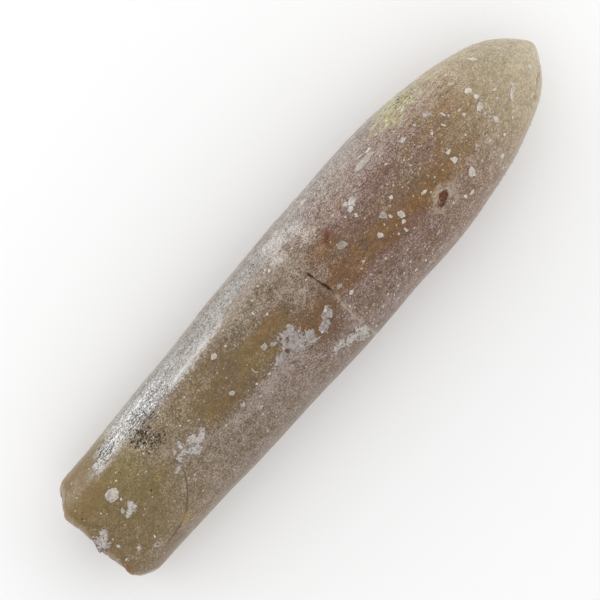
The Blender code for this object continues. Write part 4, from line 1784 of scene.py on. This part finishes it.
    def scatter(self, gathered: FossilMesh, rng: random.Random) -> None:
        """Adds the small flakes all round the guard, and larger chips on its lower flanks.

        Args:
            gathered: Where they are added.
            rng: Picks their places and sizes.
        """
        placed = 0
        while placed < self.scattered:
            along = rng.uniform(*self.scattered_along)
            denser = ease((along - self.denser_from) / self.denser_over)
            likely = self.sparse_share + (1.0 - self.sparse_share) * denser
            if rng.random() > likely * self.shape.radius_at(along) / self.shape.greatest_radius:
                continue
            angle = rng.uniform(0.0, math.tau)
            if abs(angle - self.bottom) < self.scattered_clear:
                continue
            length = self.flake_least + self.flake_range * rng.random() ** self.flake_rarity
            place = (along, angle, length)
            self.strew(gathered, rng, place, self.scattered_width, self.scattered_pallor)
            placed += 1
        placed = 0
        while placed < self.hidden:
            along = rng.uniform(*self.hidden_along)
            angle = rng.uniform(*self.hidden_angles)
            if abs(angle - self.bottom) < self.hidden_clear:
                continue
            place = (along, angle, rng.uniform(*self.hidden_length))
            self.strew(gathered, rng, place, self.hidden_width, self.hidden_pallor)
            placed += 1

    def strew(
        self,
        gathered: FossilMesh,
        rng: random.Random,
        place: tuple[float, float, float],
        widths: Span,
        pallors: Span,
    ) -> None:
        """Adds one chip at random.

        Args:
            gathered: Where it is added.
            rng: Picks its width, turn, pallor and outline.
            place: Its places along and round the guard, and its length.
            widths: The least and the greatest share of its length that its width is.
            pallors: Its least and greatest pallor.
        """
        along, angle, length = place
        width = length * rng.uniform(*widths)
        chip = Chip(along, 0.0, length, width, rng.uniform(0, 180), rng.uniform(*pallors))
        self.plate(gathered, along, angle, chip, rng)

    def build(self, shift: Vector) -> bpy.types.Object:
        """Builds the chips and dresses them.

        Args:
            shift: Where the guard's own frame is in the row frame.

        Returns:
            The chips.
        """
        rng = random.Random(self.seed)
        gathered = FossilMesh()
        for chip in self.chips + self.flakes:
            angle = self.shape.angle_of(chip.along, chip.across)
            self.plate(gathered, chip.along, angle, chip, rng)
        self.scatter(gathered, rng)
        made = gathered.make("shell_chips", [ShellFinish().make()], shift)
        made.data.set_sharp_from_angle(angle=self.sharp_angle)
        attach(made, "root")
        return made


@dataclass(frozen=True)
class Crust:
    """A crust: lobes that run together, holes worn through it, and how white it is."""

    lobes: tuple[Oval, ...]
    holes: tuple[Oval, ...] = ()
    pallor: float = 0.0
    ragged: float = 1.0
    wear: Knots = ((0.80, 0.50), (0.36, 0.42), (0.18, 0.26))
    spare: float = 0.08

    def fullness(self, along: float, across: float) -> float:
        """How far inside the crust a place is.

        Args:
            along: The place along the guard.
            across: The place across it, in the top view.

        Returns:
            Above 0 inside the crust.
        """
        best = max(1.0 - lobe.spread(along, across) for lobe in self.lobes)
        spot = Vector((along, across, 0.0))
        wear = sum(depth * noise.noise(spot / size) for size, depth in self.wear)
        best += self.ragged * wear + self.spare
        for hole in self.holes:
            best = min(best, hole.spread(along, across) - 1.0)
        return best

    def reach(self, margin: float) -> tuple[float, float, float, float]:
        """The rectangle that holds the crust.

        Args:
            margin: Room round its lobes.

        Returns:
            Its lowest and highest place along, and its lowest and highest place across.
        """
        halves = [0.5 * max(lobe.length, lobe.width) + margin for lobe in self.lobes]
        return (
            min(lobe.along - half for lobe, half in zip(self.lobes, halves)),
            max(lobe.along + half for lobe, half in zip(self.lobes, halves)),
            min(lobe.across - half for lobe, half in zip(self.lobes, halves)),
            max(lobe.across + half for lobe, half in zip(self.lobes, halves)),
        )


@dataclass
class ChalkCrusts:
    """The chalk crusts: thin patches whose lobes run together, with ragged edges."""

    shape: GuardShape = field(default_factory=GuardShape)
    cell: float = 0.085
    height: float = 0.11
    root: float = 0.10
    floor: float = 0.06
    margin: float = 0.6
    slope: float = 0.5
    grain_height: float = 0.03
    grain_rate: float = 3.0
    grain_rate_round: float = 10.0
    grain_layer: float = 3.0
    grainy_from: float = 0.2
    thick_rate: float = 2.5
    crusts: tuple[Crust, ...] = (
        Crust(each(Oval, (0.9, -0.8, 1.9, 2.5), (1.9, -0.1, 1.2, 1.4, 20)), pallor=0.5),
        Crust(
            each(
                Oval,
                (7.95, -0.5, 1.2, 1.9, -10), (7.0, -0.9, 1.7, 0.8, 10), (6.4, 0.0, 0.7, 0.8),
            ),
            pallor=0.85, ragged=0.6,
        ),
        Crust((Oval(6.1, -7.2, 0.95, 0.85),), (Oval(6.1, -7.2, 0.42, 0.38),), 0.6, 0.6),
        Crust(
            each(
                Oval,
                (17.9, -1.4, 0.9, 1.0), (19.0, -1.1, 1.5, 0.8, -10), (20.4, -1.8, 1.9, 1.5),
                (21.4, -1.3, 2.0, 1.9, 25), (22.8, -1.5, 1.6, 1.1), (21.0, -2.7, 1.2, 0.7),
                (19.5, 0.1, 0.6, 1.5, -25), (18.3, -0.1, 1.0, 0.5, 30), (23.4, -1.0, 0.9, 0.9),
            ),
            each(
                Oval,
                (19.9, -1.2, 0.5, 0.4), (22.3, -1.0, 0.5, 0.35, 20), (21.0, -1.5, 0.35, 0.5),
            ),
            pallor=0.70, ragged=1.3,
        ),
        Crust(
            each(
                Oval,
                (42.1, -1.2, 2.8, 1.9), (42.5, -2.8, 3.6, 2.9, -15), (44.4, -4.0, 2.1, 2.4, -30),
                (39.3, -2.8, 3.4, 1.1, 12), (43.6, -0.6, 1.1, 1.0), (40.2, -0.6, 1.2, 0.5, -20),
            ),
            each(Oval, (40.7, -2.8, 0.62, 0.80), (42.2, -1.6, 0.5, 0.45), (41.4, -0.9, 0.4, 0.4)),
            pallor=0.18,
        ),
        Crust((Oval(30.4, -2.9, 0.7, 1.2, -10),), (Oval(30.45, -2.7, 0.34, 0.50, -10),), 0.45, 0.6),
        Crust(each(Oval, (47.4, -4.5, 2.4, 1.3, 15), (48.9, -3.6, 2.0, 1.5, 25)), (), 0.15, 0.8),
        Crust(
            each(
                Oval,
                (46.0, -8.3, 2.2, 0.8, -10), (47.0, -8.3, 1.2, 1.1), (48.4, -8.9, 2.6, 1.1, -15),
                (50.1, -9.5, 2.4, 2.0), (45.2, -8.5, 0.6, 0.6),
            ),
            (Oval(49.2, -9.6, 0.5, 0.5),),
            pallor=0.65,
        ),
        Crust(
            each(Oval, (63.9, 4.5, 1.7, 1.1, 15), (63.0, 4.9, 0.9, 0.8), (62.9, 4.0, 1.1, 0.8, 20)),
            pallor=1.0, ragged=0.45,
        ),
    )

    def patch(self, gathered: FossilMesh, crust: Crust) -> None:
        """Adds one crust on a fine grid over the skin.

        Args:
            gathered: Where it is added.
            crust: The crust.
        """
        shape = self.shape
        low_x, high_x, low_y, high_y = crust.reach(self.margin)
        first = shape.angle_of(0.5 * (low_x + high_x), high_y)
        last = shape.angle_of(0.5 * (low_x + high_x), low_y)
        rows = int((high_x - low_x) / self.cell)
        columns = int((last - first) * shape.greatest_radius / self.cell)
        number_at: dict[tuple[int, int], int] = {}
        under: dict[int, Vector] = {}
        faces: list[tuple[int, ...]] = []
        full_at: dict[tuple[int, int], float] = {}
        spots: dict[tuple[int, int], tuple[float, float]] = {}
        for i in range(rows + 1):
            along = low_x + (high_x - low_x) * i / rows
            radius = shape.radius_at(along)
            middle = shape.centre_at(along).y
            for j in range(columns + 1):
                angle = first + (last - first) * j / columns
                spots[i, j] = (along, angle)
                full_at[i, j] = crust.fullness(along, middle + radius * math.cos(angle))
        for i in range(rows):
            for j in range(columns):
                cell = ((i, j), (i, j + 1), (i + 1, j + 1), (i + 1, j))
                if max(full_at[corner] for corner in cell) <= 0.0:
                    continue
                for corner in cell:
                    if corner in number_at:
                        continue
                    along, angle = spots[corner]
                    radius = shape.radius_at(along)
                    full = full_at[corner]
                    spot = Vector((along, angle * self.grain_rate_round, self.grain_layer))
                    grains = self.grain_height * noise.noise(spot * self.grain_rate)
                    grains *= full > self.grainy_from
                    proud = max(-self.root, min(self.height, full * self.slope)) + grains
                    number = len(gathered.points)
                    number_at[corner] = number
                    gathered.points.append(shape.place(along, radius, angle, proud))
                    under[number] = shape.place(along, radius, angle, -self.root - self.floor)
                    gathered.note("thickness", [min(1.0, max(0.0, self.thick_rate * full))])
                    gathered.note("pallor", [crust.pallor])
                faces.append(tuple(number_at[corner] for corner in cell))
        gathered.note("thickness", [0.0] * len(under))
        gathered.note("pallor", [crust.pallor] * len(under))
        gathered.add_slab(faces, under)

    def build(self, shift: Vector) -> bpy.types.Object:
        """Builds the crusts and dresses them.

        Args:
            shift: Where the guard's own frame is in the row frame.

        Returns:
            The crusts.
        """
        gathered = FossilMesh()
        for crust in self.crusts:
            self.patch(gathered, crust)
        made = gathered.make("chalk_crusts", [ChalkFinish().make()], shift)
        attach(made, "root")
        return made


@dataclass(frozen=True)
class Lamp:
    """A soft lamp: its power, size, place and aim, and whether it lights or only gives a sheen."""

    name: str
    power: float
    size: tuple[float, float]
    place: tuple[float, float, float]
    aim: tuple[float, float, float]
    lights: bool = True


@dataclass
class Studio:
    """The floor, the soft lights and the camera straight above the guard."""

    floor_half: float = 1.5
    sky_strength: float = 1.05
    lamps: tuple[Lamp, ...] = (
        Lamp("window", 1.2, (0.70, 0.18), (-0.12, 0.62, 0.10), (0.0, 0.0, 0.012)),
        Lamp("low_strip", 0.048, (0.016, 0.03), (-0.033, 0.12, 0.018), (-0.033, 0.0, 0.012), False),
    )
    lens: float = 400.0
    sensor: float = 36.0
    view_width: float = 90.5 * MM
    view_height: float = 10.5 * MM
    view_middle: tuple[float, float] = (47.7 * MM, 0.74 * MM)
    axis_rise: float = math.radians(48.935)

    def floor(self) -> bpy.types.Object:
        """Lays the floor.

        Returns:
            The floor.
        """
        half = self.floor_half
        mesh = bpy.data.meshes.new("floor")
        corners = [(-half, -half, 0.0), (half, -half, 0.0), (half, half, 0.0), (-half, half, 0.0)]
        mesh.from_pydata(corners, [], [(0, 1, 2, 3)])
        mesh.materials.append(PaperFinish().make())
        made = bpy.data.objects.new("floor", mesh)
        bpy.context.scene.collection.objects.link(made)
        return made

    def lights(self) -> None:
        """Sets the even sky, the window and the low strip beside the guard."""
        world = bpy.data.worlds.new("even_sky")
        world.use_nodes = True
        sky = world.node_tree.nodes["Background"]
        sky.inputs["Color"].default_value = (1.0, 1.0, 1.0, 1.0)
        sky.inputs["Strength"].default_value = self.sky_strength
        bpy.context.scene.world = world
        for lamp in self.lamps:
            light = bpy.data.lights.new(lamp.name, "AREA")
            light.shape = "RECTANGLE"
            light.size, light.size_y = lamp.size
            light.energy = lamp.power
            made = bpy.data.objects.new(lamp.name, light)
            made.location = lamp.place
            aim = Vector(lamp.aim) - made.location
            made.rotation_euler = aim.to_track_quat("-Z", "Y").to_euler()
            made.visible_diffuse = lamp.lights
            made.visible_glossy = not lamp.lights
            bpy.context.scene.collection.objects.link(made)

    def camera(self, shift: Vector) -> None:
        """Sets the camera above the guard, turned so that the guard rises to the right.

        Args:
            shift: Where the guard's own frame is in the row frame.
        """
        data = bpy.data.cameras.new("camera")
        data.lens, data.sensor_width = self.lens, self.sensor
        made = bpy.data.objects.new("camera", data)
        away = self.view_width * self.lens / self.sensor
        middle_x, middle_y = self.view_middle
        made.location = (middle_x + shift.x, middle_y + shift.y, self.view_height + away)
        made.rotation_euler = (0.0, 0.0, -self.axis_rise)
        bpy.context.scene.collection.objects.link(made)
        bpy.context.scene.camera = made

    def build(self, shift: Vector) -> None:
        """Builds the studio.

        Args:
            shift: Where the guard's own frame is in the row frame.
        """
        self.floor()
        self.lights()
        self.camera(shift)
        bpy.context.scene.view_settings.view_transform = "Standard"


def guard_shift(shape: GuardShape) -> Vector:
    """Where the guard's own frame is in the row frame.

    Args:
        shape: The guard's form.

    Returns:
        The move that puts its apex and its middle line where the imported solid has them.
    """
    low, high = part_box("rostrum")
    widest = shape.radius_at(shape.fattest_at)
    turns = [math.tau * degree / 360 for degree in range(360)]
    row = [shape.place(shape.fattest_at, widest, turn).y for turn in turns]
    middle = 0.5 * (min(row) + max(row))
    return Vector((high.x - shape.length * MM, 0.5 * (low.y + high.y) - middle * MM, 0.0))


def main() -> None:
    """Builds the fossil and its studio, and reports each piece."""
    logging.basicConfig(level=logging.INFO, format="%(name)s: %(message)s")
    log.info("packed nodes: %s", ", ".join(sorted(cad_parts)))
    shape = GuardShape()
    shift = guard_shift(shape)
    for part in (Guard(shape), ShellChips(shape), ChalkCrusts(shape)):
        made = part.build(shift)
        log.info("%s: %d faces", made.name, len(made.data.polygons))
    Studio().build(shift)


if __name__ == "__main__":
    main()
